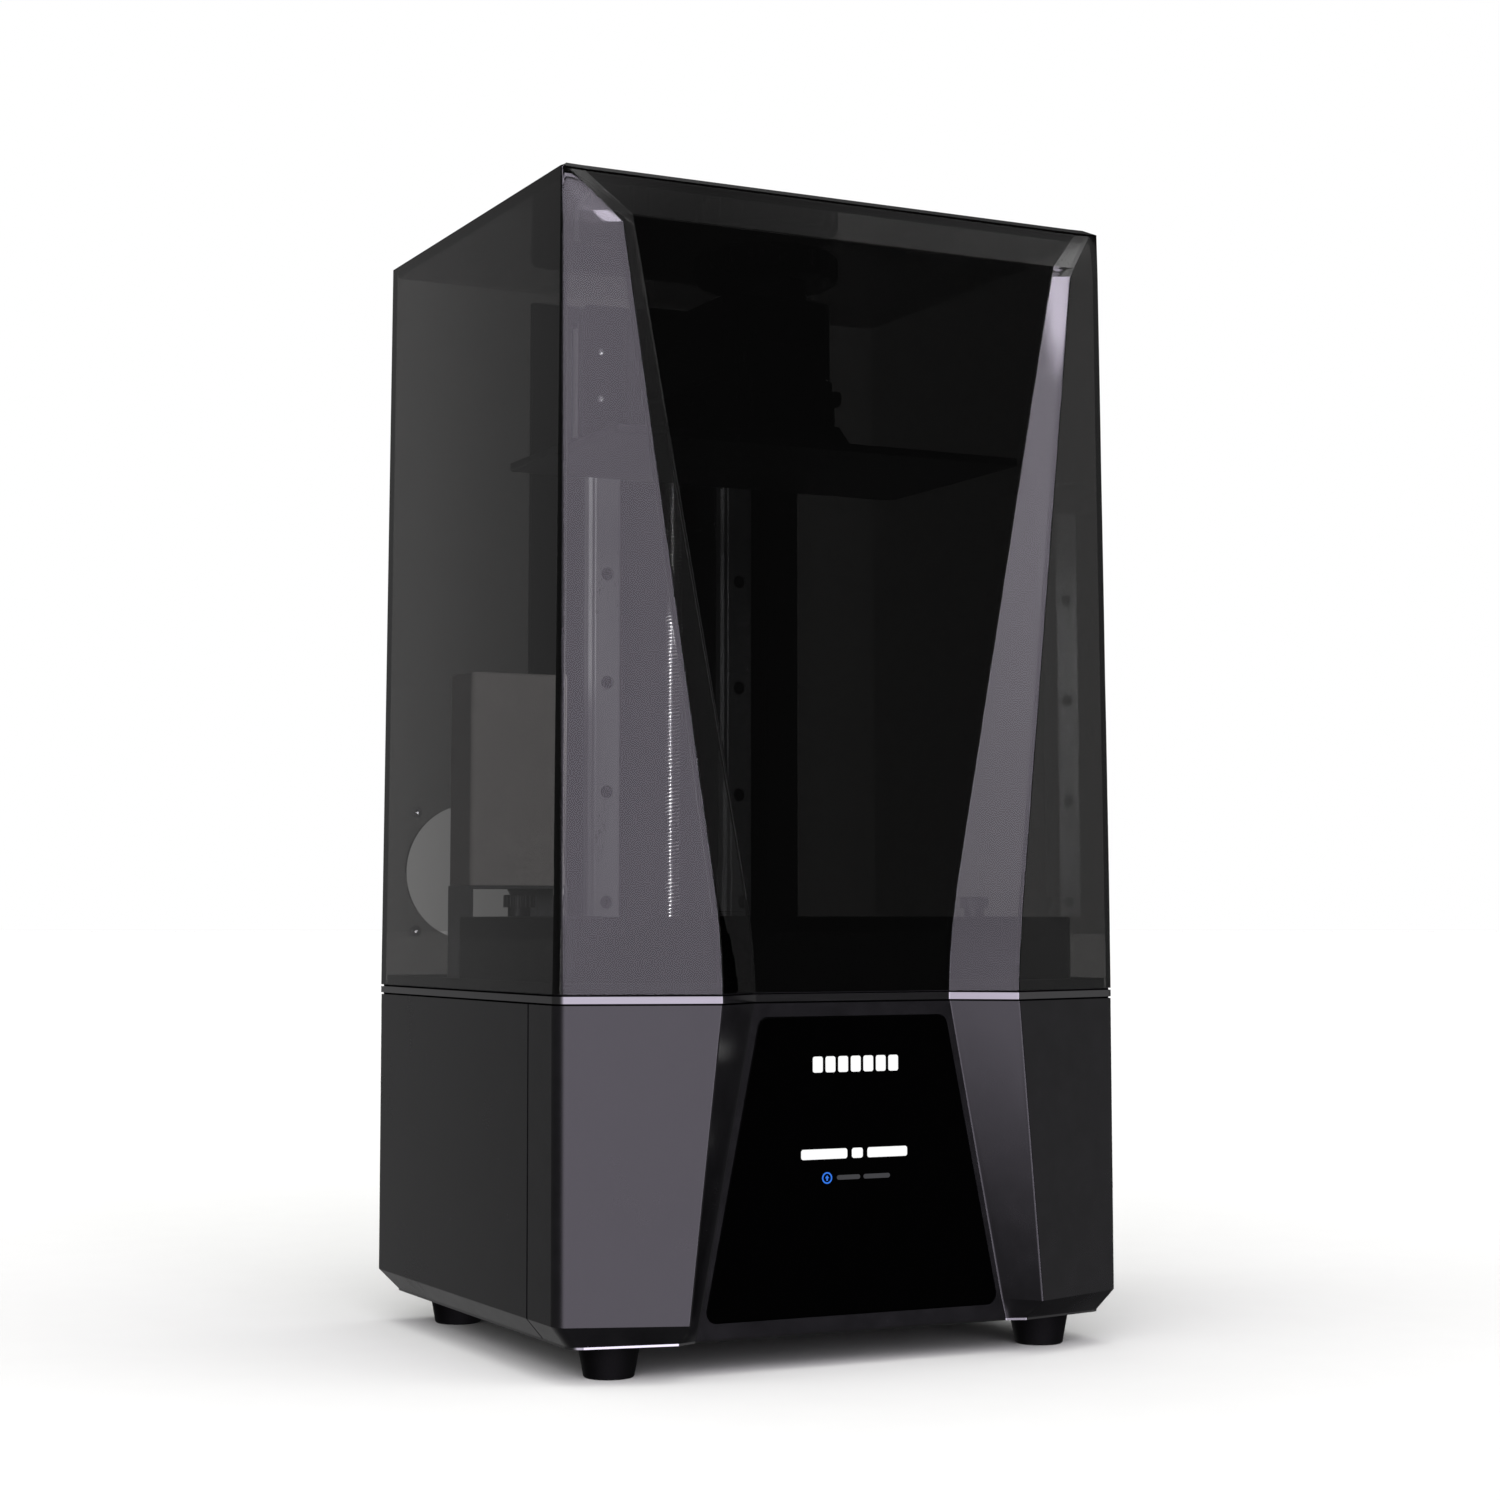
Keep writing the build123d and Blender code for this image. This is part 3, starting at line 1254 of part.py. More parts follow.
def cover_top():
    """Lid with a plug inside the walls, a straight edge and a sloped border."""
    z_edge = Z_RIM + 1.2
    with BuildPart() as top:
        slab(Z_RIM - 4.0, Z_RIM, Z_RIM, COVER_T + 0.3)
        slab(Z_RIM, z_edge, Z_RIM, 0.0)
        loft([outline_face(z_edge, Z_RIM, 0.0), outline_face(Z_TOP, Z_RIM, 5.6)], ruled=True)
    return top


def cover_gasket():
    with BuildPart() as gasket:
        slab(Z_TRIM1, Z_COVER, Z_COVER, 1.2, 4.2)
    return gasket


def vent_screws():
    """Screws from inside the cover, heads on the inner face of the back wall."""
    inner_y = Y_BACK - COVER_T
    return socket_screws(VENT_SCREWS, head_r=3.0, hex_r=1.3, head_y=(inner_y, inner_y - 2.0),
                         shank_r=1.6, shank_y=(inner_y, Y_BACK - 0.2))


# =================================================================== output
def save(builder, name):
    builder.part.label = name
    export_step(builder.part, f"parts/{name}.step")


# each file takes the name of the function that builds the piece
PIECES = [
    front_bezel, base_shell, bottom_plate, rubber_feet, foot_screws, deck_trim, deck_plate,
    mask_lcd, mask_glass, light_hood, fresnel_lens, lamp_board, heat_sink, lamp_fan_frame,
    lamp_fan_rotor, exhaust_fan_frame, exhaust_fan_rotor, main_board, touch_glass,
    touch_display, power_inlet, switch_frame, power_rocker, usb_socket,
    tower_column, tower_fascia, tower_cap, linear_rails, rail_screws, screw_bearings, z_motor,
    motor_bracket, limit_sensor, lead_screw, motor_shaft, shaft_coupler,
    rail_blocks, carriage_plate, carriage_screws, lead_nut, limit_flag,
    platform_arm, platform_head, build_plate, platform_screws, clamp_knob, clamp_stud,
    vat_frame, vat_film, film_ring,
    purifier_bracket, purifier_case, purifier_filter, purifier_fan_rotor,
    cover_shell, cover_top, cover_gasket, vent_screws,
]
for build in PIECES:
    save(build(), build.__name__)
for side_name, place in zip(("right", "left"), VAT_SCREWS):
    save(vat_thumbscrew(*place), "vat_thumbscrew_" + side_name)
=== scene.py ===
"""A desktop resin printer: smoked cover over a tower, platform and vat, on a dark base.

Metres, +Z up. The front faces -Y, the left side is -X, and the base stands on the floor.
The CAD pieces get procedural finishes; the threaded lead screw and the lit shapes on
the touch panel are built here.
"""
import math

import bpy
import bmesh
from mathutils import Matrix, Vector


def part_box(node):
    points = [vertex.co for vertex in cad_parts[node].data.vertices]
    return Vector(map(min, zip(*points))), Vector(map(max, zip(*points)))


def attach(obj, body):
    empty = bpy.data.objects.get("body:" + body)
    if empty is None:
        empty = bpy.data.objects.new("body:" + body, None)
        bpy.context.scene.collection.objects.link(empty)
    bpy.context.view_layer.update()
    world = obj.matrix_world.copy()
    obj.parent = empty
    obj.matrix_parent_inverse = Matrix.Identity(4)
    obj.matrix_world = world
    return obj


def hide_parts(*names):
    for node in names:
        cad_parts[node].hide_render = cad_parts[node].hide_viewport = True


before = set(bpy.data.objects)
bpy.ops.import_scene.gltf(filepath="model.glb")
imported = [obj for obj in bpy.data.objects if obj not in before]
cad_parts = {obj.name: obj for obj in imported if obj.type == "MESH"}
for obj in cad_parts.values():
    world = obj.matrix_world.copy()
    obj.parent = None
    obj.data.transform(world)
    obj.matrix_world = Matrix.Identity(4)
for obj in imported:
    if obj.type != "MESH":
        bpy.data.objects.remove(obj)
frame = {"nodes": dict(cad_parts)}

MM = 0.001
scene = bpy.context.scene
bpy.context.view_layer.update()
nodes = frame["nodes"]


# ---------------------------------------------------------------- shader graphs
class Graph:
    """Writes shader expressions; every value may be a number, a colour or a socket."""

    def __init__(self, tree, output=None):
        """With an output kind, the tree is emptied and given that output node."""
        self.tree = tree
        if output:
            tree.nodes.clear()
            self.output = self.node(output)

    def node(self, kind, inputs=None, **settings):
        """Add a node; inputs maps socket names or indices to values."""
        node = self.tree.nodes.new(kind)
        for key, value in settings.items():
            setattr(node, key, value)
        for key, value in (inputs or {}).items():
            self.put(node.inputs[key], value)
        return node

    def put(self, socket, value):
        if isinstance(value, bpy.types.NodeSocket):
            self.tree.links.new(value, socket)
        elif isinstance(value, tuple) and len(value) == 3 and len(socket.default_value) == 4:
            socket.default_value = (*value, 1.0)
        else:
            socket.default_value = value

    def math(self, operation, first, second=0.0, third=0.0):
        inputs = {0: first, 1: second, 2: third}
        return self.node("ShaderNodeMath", inputs, operation=operation).outputs[0]

    def add(self, first, second):
        return self.math("ADD", first, second)

    def mul(self, first, second):
        return self.math("MULTIPLY", first, second)

    def below(self, value, limit):
        return self.math("LESS_THAN", value, limit)

    def remap(self, value, source, to=(0.0, 1.0), smooth=False):
        """Carry the source range to the target range, clamped."""
        inputs = {"Value": value, "From Min": source[0], "From Max": source[1],
                  "To Min": to[0], "To Max": to[1]}
        shape = "SMOOTHSTEP" if smooth else "LINEAR"
        node = self.node("ShaderNodeMapRange", inputs, clamp=True, interpolation_type=shape)
        return node.outputs["Result"]

    def band(self, value, edges):
        """0 below the first edge, 1 between the second and third, 0 above the last."""
        rise = self.remap(value, edges[:2], smooth=True)
        fall = self.remap(value, edges[2:], to=(1.0, 0.0), smooth=True)
        return self.mul(rise, fall)

    def curve(self, value, low, high, stops):
        """Piecewise-linear curve through (position, value) stops, up to 32 of them."""
        ramp = self.node("ShaderNodeValToRGB", {0: self.remap(value, (low, high))})
        peak = max(level for _, level in stops)
        elements = ramp.color_ramp.elements
        while len(elements) > 1:
            elements.remove(elements[-1])
        for i, (place, level) in enumerate(stops):
            position = (place - low) / (high - low)
            element = elements[0] if i == 0 else elements.new(position)
            element.position = position
            element.color = (level / peak, level / peak, level / peak, 1.0)
        return self.mul(ramp.outputs[0], peak)

    def tint(self, value, color):
        inputs = {0: color, "Scale": value}
        return self.node("ShaderNodeVectorMath", inputs, operation="SCALE").outputs[0]

    def add_colors(self, first, second):
        inputs = {0: first, 1: second}
        return self.node("ShaderNodeVectorMath", inputs, operation="ADD").outputs[0]

    def mix_colors(self, factor, first, second):
        inputs = {0: factor, 6: first, 7: second}
        return self.node("ShaderNodeMix", inputs, data_type="RGBA").outputs[2]

    def mix_shaders(self, factor, first, second):
        inputs = {0: factor, 1: first.outputs[0], 2: second.outputs[0]}
        return self.node("ShaderNodeMixShader", inputs).outputs[0]

    def axes(self, vector):
        return tuple(self.node("ShaderNodeSeparateXYZ", {0: vector}).outputs)

    def noise(self, scale, detail, rough=0.5, stretch=(1, 1, 1)):
        coords = self.node("ShaderNodeTexCoord").outputs["Object"]
        mapping = self.node("ShaderNodeMapping", {"Vector": coords, "Scale": stretch})
        inputs = {"Vector": mapping.outputs[0], "Scale": scale, "Detail": detail,
                  "Roughness": rough, "Distortion": 0.0}
        return self.node("ShaderNodeTexNoise", inputs).outputs["Fac"]


MATERIALS = {}


def new_material(name):
    material = bpy.data.materials.new(name)
    material.use_nodes = True
    MATERIALS[name] = material
    return Graph(material.node_tree, "ShaderNodeOutputMaterial")


# -------------------------------------------------------------- opaque finishes
def surface(name, color, rough, rough_spread, metallic, grain, grain_bump, mottle,
            stretch=(1, 1, 1), spec=0.5, smudge=0.0, light=None):
    """Opaque finish with grain, uneven roughness, colour mottling and wide smudges."""
    graph = new_material(name)
    middle = graph.noise(scale=70.0, detail=5.0, rough=0.6, stretch=stretch)
    fine = graph.noise(scale=grain, detail=2.0, stretch=stretch)
    dark = tuple(c * (1 - mottle) for c in color)
    light = light or tuple(min(1.0, c * (1 + mottle) + 0.002) for c in color)
    mottled = graph.mix_colors(graph.remap(middle, (0.3, 0.7)), dark, light)
    roughness = graph.add(
        graph.remap(middle, (0.25, 0.75), to=(rough - rough_spread, rough + rough_spread)),
        graph.remap(fine, (0.3, 0.7), to=(-0.02, 0.02)))
    if smudge:
        large = graph.noise(scale=9.0, detail=4.0, rough=0.55)
        roughness = graph.add(roughness, graph.remap(large, (0.5, 0.68), to=(0.0, smudge)))
    bump = graph.node("ShaderNodeBump",
                      {"Strength": grain_bump, "Distance": 0.0004, "Height": fine})
    principled = graph.node("ShaderNodeBsdfPrincipled", {
        "Base Color": mottled, "Metallic": metallic, "Specular IOR Level": spec,
        "Roughness": roughness, "Normal": bump.outputs[0]})
    graph.put(graph.output.inputs[0], principled.outputs[0])


# name, colour, roughness, roughness spread, metallic, grain scale, grain bump, mottle, others
# white_lens is a spare finish that no piece wears.
SURFACES = (
    ("graphite_plastic", (0.0045, 0.0045, 0.0047), 0.22, 0.03, 0, 1600, 0.03, 0.10,
     dict(smudge=0.05)),
    ("graphite_sheet", (0.0045, 0.0045, 0.0047), 0.23, 0.03, 0, 1300, 0.05, 0.10,
     dict(smudge=0.05)),
    ("satin_band", (0.215, 0.213, 0.219), 0.12, 0.03, 1, 900, 0.02, 0.12,
     dict(stretch=(0.05, 0.05, 1))),
    ("black_glass", (0.0003, 0.0003, 0.0003), 0.04, 0.01, 0, 300, 0, 0.1,
     dict(spec=0.07, light=(0.0004, 0.0004, 0.0004), smudge=0.02)),
    ("screen_glass", (0.004, 0.004, 0.006), 0.05, 0.02, 0, 400, 0, 0.12, dict(smudge=0.08)),
    ("foot_rubber", (0.0010, 0.0010, 0.0010), 0.62, 0.1, 0, 900, 0.25, 0.3,
     dict(spec=0.10, light=(0.0018, 0.0018, 0.0018))),
    ("gasket_rubber", (0.008, 0.008, 0.008), 0.7, 0.1, 0, 900, 0.25, 0.12, dict(spec=0.2)),
    ("black_anodised", (0.016, 0.016, 0.017), 0.38, 0.05, 0.4, 2400, 0.10, 0.15, {}),
    ("vat_anodised", (0.020, 0.020, 0.021), 0.36, 0.05, 0.5, 2400, 0.10, 0.15, {}),
    ("black_plastic", (0.013, 0.013, 0.013), 0.42, 0.06, 0, 1500, 0.15, 0.15, {}),
    ("knob_plastic", (0.012, 0.012, 0.012), 0.36, 0.06, 0, 1400, 0.18, 0.15, {}),
    ("platform_metal", (0.10, 0.10, 0.103), 0.34, 0.06, 0.85, 1800, 0.12, 0.18, {}),
    ("plate_blasted", (0.16, 0.16, 0.165), 0.48, 0.06, 0.85, 2200, 0.22, 0.2, {}),
    ("bare_aluminium", (0.55, 0.55, 0.56), 0.32, 0.06, 1, 1500, 0.08, 0.1,
     dict(stretch=(1, 0.06, 1))),
    ("rail_steel", (0.50, 0.51, 0.53), 0.30, 0.03, 0.62, 2600, 0.02, 0.06,
     dict(stretch=(1, 1, 0.2))),
    ("sheet_steel", (0.42, 0.42, 0.43), 0.34, 0.06, 1, 1600, 0.06, 0.15,
     dict(stretch=(1, 0.1, 1))),
    ("thread_steel", (0.92, 0.92, 0.94), 0.24, 0.06, 1, 2600, 0.03, 0.04, {}),
    ("screw_steel", (0.62, 0.62, 0.64), 0.22, 0.06, 1, 2600, 0.05, 0.12,
     dict(stretch=(1, 1, 0.2))),
    ("black_oxide", (0.03, 0.03, 0.032), 0.34, 0.06, 0.8, 2400, 0.08, 0.25, {}),
    ("nut_polymer", (0.62, 0.58, 0.48), 0.5, 0.06, 0, 1200, 0.08, 0.08, {}),
    ("board_green", (0.02, 0.11, 0.05), 0.35, 0.06, 0, 1200, 0.05, 0.3,
     dict(light=(0.03, 0.17, 0.07))),
    ("case_plastic", (0.46, 0.44, 0.43), 0.6, 0.06, 0, 1500, 0.10, 0.06, {}),
    ("stand_steel", (0.20, 0.20, 0.21), 0.38, 0.06, 0.6, 1500, 0.08, 0.1, {}),
    ("filter_foam", (0.010, 0.010, 0.010), 0.9, 0.06, 0, 420, 1.0, 0.5, dict(spec=0.1)),
    ("gloss_black", (0.012, 0.012, 0.012), 0.12, 0.06, 0, 900, 0.02, 0.2, {}),
    ("motor_black", (0.02, 0.02, 0.021), 0.4, 0.06, 0.3, 1600, 0.1, 0.12, {}),
    ("white_lens", (0.7, 0.7, 0.72), 0.25, 0.06, 0, 700, 0.3, 0.03, {}),
)


def reopen(material):
    """The graph of a surface, its principled node and the socket that colours it."""
    graph = Graph(material.node_tree)
    principled = next(n for n in graph.tree.nodes if n.type == "BSDF_PRINCIPLED")
    return graph, principled, principled.inputs["Base Color"].links[0].from_socket


def band_with_painted_gap_shade(name, source):
    """A copy of the band finish with painted shade, black and not metallic, in the gaps above
    and below the band.
    """
    band_heights = (0.17268, 0.17272, 0.17598, 0.17602)
    # painted shade: the gaps between the band and the parts above and below it are coloured
    # black
    gap_shade_color = (0.0015, 0.0015, 0.0015)
    material = MATERIALS[source].copy()
    material.name = name
    MATERIALS[name] = material
    graph, principled, color = reopen(material)
    height = graph.axes(graph.node("ShaderNodeNewGeometry").outputs["Position"])[2]
    metal = graph.band(height, band_heights)
    graph.put(principled.inputs["Base Color"], graph.mix_colors(metal, gap_shade_color, color))
    graph.put(principled.inputs["Metallic"], metal)
    graph.put(principled.inputs["Specular IOR Level"], graph.mul(metal, 0.5))


def paint_shade_in_thread_roots(name):
    """Paint shade into the roots of the screw thread, so that only the crests stay bright."""
    axis_y = 0.09475                    # the screw's axis, at x = 0
    dark_to_bright = (0.0034, 0.0039)   # radii
    root_shade_color = (0.03, 0.03, 0.032)
    graph, principled, color = reopen(MATERIALS[name])
    x, y, _ = graph.axes(graph.node("ShaderNodeNewGeometry").outputs["Position"])
    y = graph.add(y, -axis_y)
    radius = graph.math("SQRT", graph.add(graph.mul(x, x), graph.mul(y, y)))
    # painted shade: the colour darkens from the crest radius down to the root radius
    crest = graph.remap(radius, dark_to_bright, smooth=True)
    graph.put(principled.inputs["Base Color"], graph.mix_colors(crest, root_shade_color, color))


# ---------------------------------------------------- see-through and lit finishes
COVER_IOR = 1.49
COVER_WALL = 0.0045       # path through the sheet that the tint is set for
COVER_PASSES = 0.25       # share of light left after that path
DARK_FRONT_Y = -0.09      # the darker faces lie in front of this


def darken_front(graph, skin):
    """Darker tint on the flat front faces and on the slanted faces to their left."""
    geometry = graph.node("ShaderNodeNewGeometry").outputs
    facing = graph.math("ABSOLUTE", graph.axes(geometry["True Normal"])[1])
    x, y, _ = graph.axes(geometry["Position"])
    front = graph.below(y, DARK_FRONT_Y)
    flat = graph.mul(graph.remap(facing, (0.985, 0.992)), front)
    slanted = graph.mul(graph.band(facing, (0.70, 0.74, 0.83, 0.86)), front)
    left = graph.mul(slanted, graph.below(x, 0.0))
    skin = graph.mul(skin, graph.remap(flat, (0.0, 1.0), to=(1.0, 0.36)))
    return graph.mul(skin, graph.remap(left, (0.0, 1.0), to=(1.0, 0.42)))


def smoked(name, dark_front):
    """Refracting sheet whose tint grows with the path through the material."""
    graph = new_material(name)
    cloud = graph.noise(scale=5.0, detail=4.0, rough=0.6)
    skin = graph.remap(cloud, (0.3, 0.7), to=(0.985, 1.0))
    if dark_front:
        skin = darken_front(graph, skin)
    patches = graph.noise(scale=26.0, detail=5.0, rough=0.6)
    haze = graph.remap(patches, (0.5, 0.85), to=(0.0, 0.015))
    refraction = graph.node("ShaderNodeBsdfRefraction", {
        "Color": graph.tint(skin, (1.0, 0.995, 0.99)), "IOR": COVER_IOR, "Roughness": haze})
    gloss = graph.node("ShaderNodeBsdfGlossy", {"Color": (1.0, 1.0, 1.0), "Roughness": haze})
    fresnel = graph.node("ShaderNodeFresnel", {"IOR": COVER_IOR}).outputs[0]
    graph.put(graph.output.inputs["Surface"], graph.mix_shaders(fresnel, refraction, gloss))
    density = -math.log(COVER_PASSES) / COVER_WALL
    absorption = graph.node("ShaderNodeVolumeAbsorption",
                            {"Color": (0.0, 0.0, 0.0), "Density": density})
    graph.put(graph.output.inputs["Volume"], absorption.outputs[0])


def clear_film(name, tint, rough, reflect):
    """Thin clear layer; reflect is the share of gloss seen straight on."""
    graph = new_material(name)
    see_through = graph.node("ShaderNodeBsdfTransparent", {0: tint})
    patches = graph.noise(scale=40.0, detail=4.0)
    haze = graph.remap(patches, (0.3, 0.7), to=(rough * 0.6, rough * 1.6))
    gloss = graph.node("ShaderNodeBsdfGlossy", {"Roughness": haze})
    fresnel = graph.node("ShaderNodeLayerWeight", {0: 0.25}).outputs["Fresnel"]
    share = graph.remap(fresnel, (0.0, 1.0), to=(reflect, 0.7))
    graph.put(graph.output.inputs[0], graph.mix_shaders(share, see_through, gloss))


def glow(name, color, strength):
    """Lit display colour with a faint speckle."""
    graph = new_material(name)
    speckle = graph.remap(graph.noise(scale=2600.0, detail=1.0), (0.3, 0.7), to=(0.92, 1.0))
    emission = graph.node("ShaderNodeEmission",
                          {"Color": graph.tint(speckle, color), "Strength": strength})
    graph.put(graph.output.inputs[0], emission.outputs[0])


smoked("smoked_wall", dark_front=True)
smoked("smoked_top", dark_front=False)
for *values, others in SURFACES:
    surface(*values, **others)
band_with_painted_gap_shade("satin_band_shaded_gaps", source="satin_band")
paint_shade_in_thread_roots("thread_steel")
clear_film("release_film", tint=(0.92, 0.92, 0.92), rough=0.05, reflect=0.06)
clear_film("clear_lens", tint=(0.8, 0.82, 0.85), rough=0.15, reflect=0.08)

FINISHES = {
    "cover_shell": "smoked_wall", "cover_top": "smoked_top", "cover_gasket": "gasket_rubber",
    "vent_screws": "screw_steel", "front_bezel": "graphite_plastic",
    "base_shell": "graphite_sheet", "bottom_plate": "satin_band", "rubber_feet": "foot_rubber",
    "foot_screws": "black_oxide", "deck_trim": "satin_band_shaded_gaps",
    "deck_plate": "black_anodised", "mask_lcd": "screen_glass", "mask_glass": "screen_glass",
    "light_hood": "black_plastic", "fresnel_lens": "clear_lens", "lamp_board": "board_green",
    "heat_sink": "bare_aluminium", "lamp_fan_frame": "black_plastic",
    "lamp_fan_rotor": "black_plastic", "exhaust_fan_frame": "black_plastic",
    "exhaust_fan_rotor": "black_plastic", "main_board": "board_green",
    "touch_glass": "black_glass", "touch_display": "black_plastic",
    "power_inlet": "black_plastic", "switch_frame": "black_plastic",
    "power_rocker": "gloss_black", "usb_socket": "rail_steel",
    "tower_column": "black_anodised", "tower_fascia": "black_plastic",
    "tower_cap": "black_plastic", "linear_rails": "rail_steel", "rail_screws": "black_oxide",
    "screw_bearings": "screw_steel", "z_motor": "motor_black", "motor_bracket": "sheet_steel",
    "limit_sensor": "black_plastic", "lead_screw": "screw_steel", "motor_shaft": "screw_steel",
    "shaft_coupler": "bare_aluminium", "rail_blocks": "rail_steel",
    "carriage_plate": "black_anodised", "carriage_screws": "screw_steel",
    "lead_nut": "nut_polymer", "limit_flag": "sheet_steel", "platform_arm": "black_anodised",
    "platform_head": "platform_metal", "build_plate": "plate_blasted",
    "platform_screws": "black_oxide", "clamp_knob": "knob_plastic",
    "clamp_stud": "screw_steel", "vat_frame": "vat_anodised", "vat_film": "release_film",
    "film_ring": "sheet_steel", "vat_thumbscrew_left": "black_oxide",
    "vat_thumbscrew_right": "black_oxide", "purifier_bracket": "stand_steel",
    "purifier_case": "case_plastic", "purifier_filter": "filter_foam",
    "purifier_fan_rotor": "black_plastic",
}
for piece, finish in FINISHES.items():
    part = nodes[piece]
    if not part.material_slots:
        part.data.materials.append(MATERIALS[finish])
    for material_slot in part.material_slots:
        material_slot.link = "OBJECT"
        material_slot.material = MATERIALS[finish]


# ------------------------------------------------------------------- built pieces
def add_mesh(name, verts, faces, body, material, smooth):
    mesh = bpy.data.meshes.new(name)
    mesh.from_pydata(verts, [], faces)
    bm = bmesh.new()
    bm.from_mesh(mesh)
    bmesh.ops.recalc_face_normals(bm, faces=bm.faces)
    bm.to_mesh(mesh)
    bm.free()
    if smooth:
        for polygon in mesh.polygons:
            polygon.use_smooth = True
    ob = bpy.data.objects.new(name, mesh)
    scene.collection.objects.link(ob)
    ob.data.materials.append(MATERIALS[material])
    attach(ob, body)
    return ob


def thread_screw():
    """The lead screw with its two-start thread, as one closed skin."""
    crest_radius, root_radius = 0.00398, 0.0030
    pitch, starts = 0.002, 2
    crest_share, flank_share = 0.28, 0.40    # of the way from crest middle to root middle
    plain_end = 0.0006                       # length without thread at each end
    around, rows_per_pitch = 40, 8
    low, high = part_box("lead_screw")
    center_x, center_y = (low.x + high.x) / 2, (low.y + high.y) / 2
    length = high.z - low.z
    rows = int(round(length / pitch * rows_per_pitch))
    verts, faces = [], []
    for i in range(rows + 1):
        z = low.z + length * i / rows
        for k in range(around):
            angle = 2 * math.pi * k / around
            phase = (z / pitch - starts * angle / (2 * math.pi)) % 1.0
            from_crest = abs(phase - 0.5) * 2
            depth = min(1.0, max(0.0, (from_crest - crest_share) / flank_share))
            radius = crest_radius + (root_radius - crest_radius) * depth
            if min(z - low.z, high.z - z) < plain_end:
                radius = min(radius, root_radius + 0.0001)
            verts.append((center_x + radius * math.cos(angle),
                          center_y + radius * math.sin(angle), z))
    for i in range(rows):
        for k in range(around):
            here, beside = i * around + k, i * around + (k + 1) % around
            faces.append((here, beside, beside + around, here + around))
    bottom, top = len(verts), len(verts) + 1
    last_row = rows * around
    verts += [(center_x, center_y, low.z), (center_x, center_y, high.z)]
    for k in range(around):
        beside = (k + 1) % around
        faces.append((bottom, beside, k))
        faces.append((top, last_row + k, last_row + beside))
    ob = add_mesh("lead_screw_thread", verts, faces, "screw", "thread_steel",
                  smooth=True)
    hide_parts("lead_screw")
    return ob


thread = thread_screw()

# Thin lit shapes just in front of the touch glass; their x and z are given in millimetres.
LIT_BACK_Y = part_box("touch_glass")[0].y - 0.00002
LIT_FRONT_Y = LIT_BACK_Y - 0.00006


def lit_mesh(name, verts, faces, material):
    add_mesh(name, verts, faces, "base", material, smooth=False)


def plate(name, outline, material):
    """Flat shape from (x, z) points in metres."""
    count = len(outline)
    verts = [(x, y, z) for y in (LIT_FRONT_Y, LIT_BACK_Y) for x, z in outline]
    faces = [tuple(range(count)), tuple(reversed(range(count, 2 * count)))]
    faces += [(k, (k + 1) % count, count + (k + 1) % count, count + k) for k in range(count)]
    lit_mesh(name, verts, faces, material)


def pill(name, x_range, z_range, material, radius=None):
    """Bar with rounded corners, or with fully rounded ends when no radius is given."""
    steps = 8
    x0, x1 = (x * MM for x in x_range)
    z0, z1 = (z * MM for z in z_range)
    r = min((z1 - z0) / 2, (x1 - x0) / 2) if radius is None else radius * MM
    corners = ((x1 - r, z1 - r, 0), (x0 + r, z1 - r, 90),
               (x0 + r, z0 + r, 180), (x1 - r, z0 + r, 270))
    outline = []
    for x, z, start in corners:
        for k in range(steps + 1):
            angle = math.radians(start + k * 90 / steps)
            outline.append((x + r * math.cos(angle), z + r * math.sin(angle)))
    plate(name, outline, material)


def ring(name, center, inner, outer, material):
    segments = 40
    x, z, inner, outer = (v * MM for v in (*center, inner, outer))
    section = ((inner, LIT_FRONT_Y), (outer, LIT_FRONT_Y),
               (outer, LIT_BACK_Y), (inner, LIT_BACK_Y))
    verts, faces = [], []
    for k in range(segments):
        angle = 2 * math.pi * k / segments
        verts += [(x + r * math.cos(angle), y, z + r * math.sin(angle)) for r, y in section]
        here, following = 4 * k, 4 * ((k + 1) % segments)
        for j in range(4):
            after = (j + 1) % 4
            faces.append((here + j, here + after, following + after, following + j))
    lit_mesh(name, verts, faces, material)


def start_screen():
    """A segmented progress bar, a title bar, and a status line led by an arrow in a ring."""
    bar_left, bar_pitch, bar_width = -22.6, 6.9, 5.4
    title_ranges = ((-29.0, -4.0), (-1.5, 4.5), (7.0, 29.0))
    status_ranges = ((-9.7, 3.0), (4.8, 19.4))
    arrow = ((-15.4, 88.6), (-15.4, 87.4), (-14.6, 87.4), (-14.6, 88.6),
             (-13.9, 88.6), (-15.0, 90.0), (-16.1, 88.6))    # x, z
    for i in range(7):
        left = bar_left + bar_pitch * i
        pill(f"panel_bar_{i + 1}", (left, left + bar_width), (138.6, 146.2), "lit_white",
             radius=1.1)
    for i, x_range in enumerate(title_ranges, 1):
        pill(f"panel_title_{i}", x_range, (97.6, 102.4), "lit_white", radius=1.2)
    ring("panel_status_ring", center=(-15.0, 88.7), inner=2.05, outer=2.75,
         material="lit_blue")
    plate("panel_status_arrow", [(x * MM, z * MM) for x, z in arrow], "lit_blue")
    for i, x_range in enumerate(status_ranges, 1):
        pill(f"panel_status_{i}", x_range, (87.6, 89.8), "lit_grey")


glow("lit_white", color=(1.0, 1.0, 1.0), strength=1.05)
glow("lit_grey", color=(0.06, 0.06, 0.065), strength=1.0)
glow("lit_blue", color=(0.04, 0.20, 0.85), strength=1.0)
start_screen()

# ---------------------------------------------------------------------- the world
# Angles in degrees. Azimuth is 0 at the front (-Y) and grows toward +X.
# Curves are (angle, brightness) stops; bands are the four edges Graph.band takes.
ROOM_AZIMUTH = (
    (-180, .31), (-168, .28), (-162, .225), (-157, .13), (-152, .09), (-76, .10), (-66, .14),
    (-10, .12), (0, .08), (18, .05), (32, .05), (50, .10), (64, .24), (72, .24), (84, .21),
    (95, .14), (104, .10), (112, .06), (129, .03), (146, .08), (160, .16), (180, .31))
ROOM_ELEVATION = ((-90, .5), (-30, .75), (-8, 1.0), (14, 1.0), (30, 1.5), (60, 2.0), (90, 2.5))
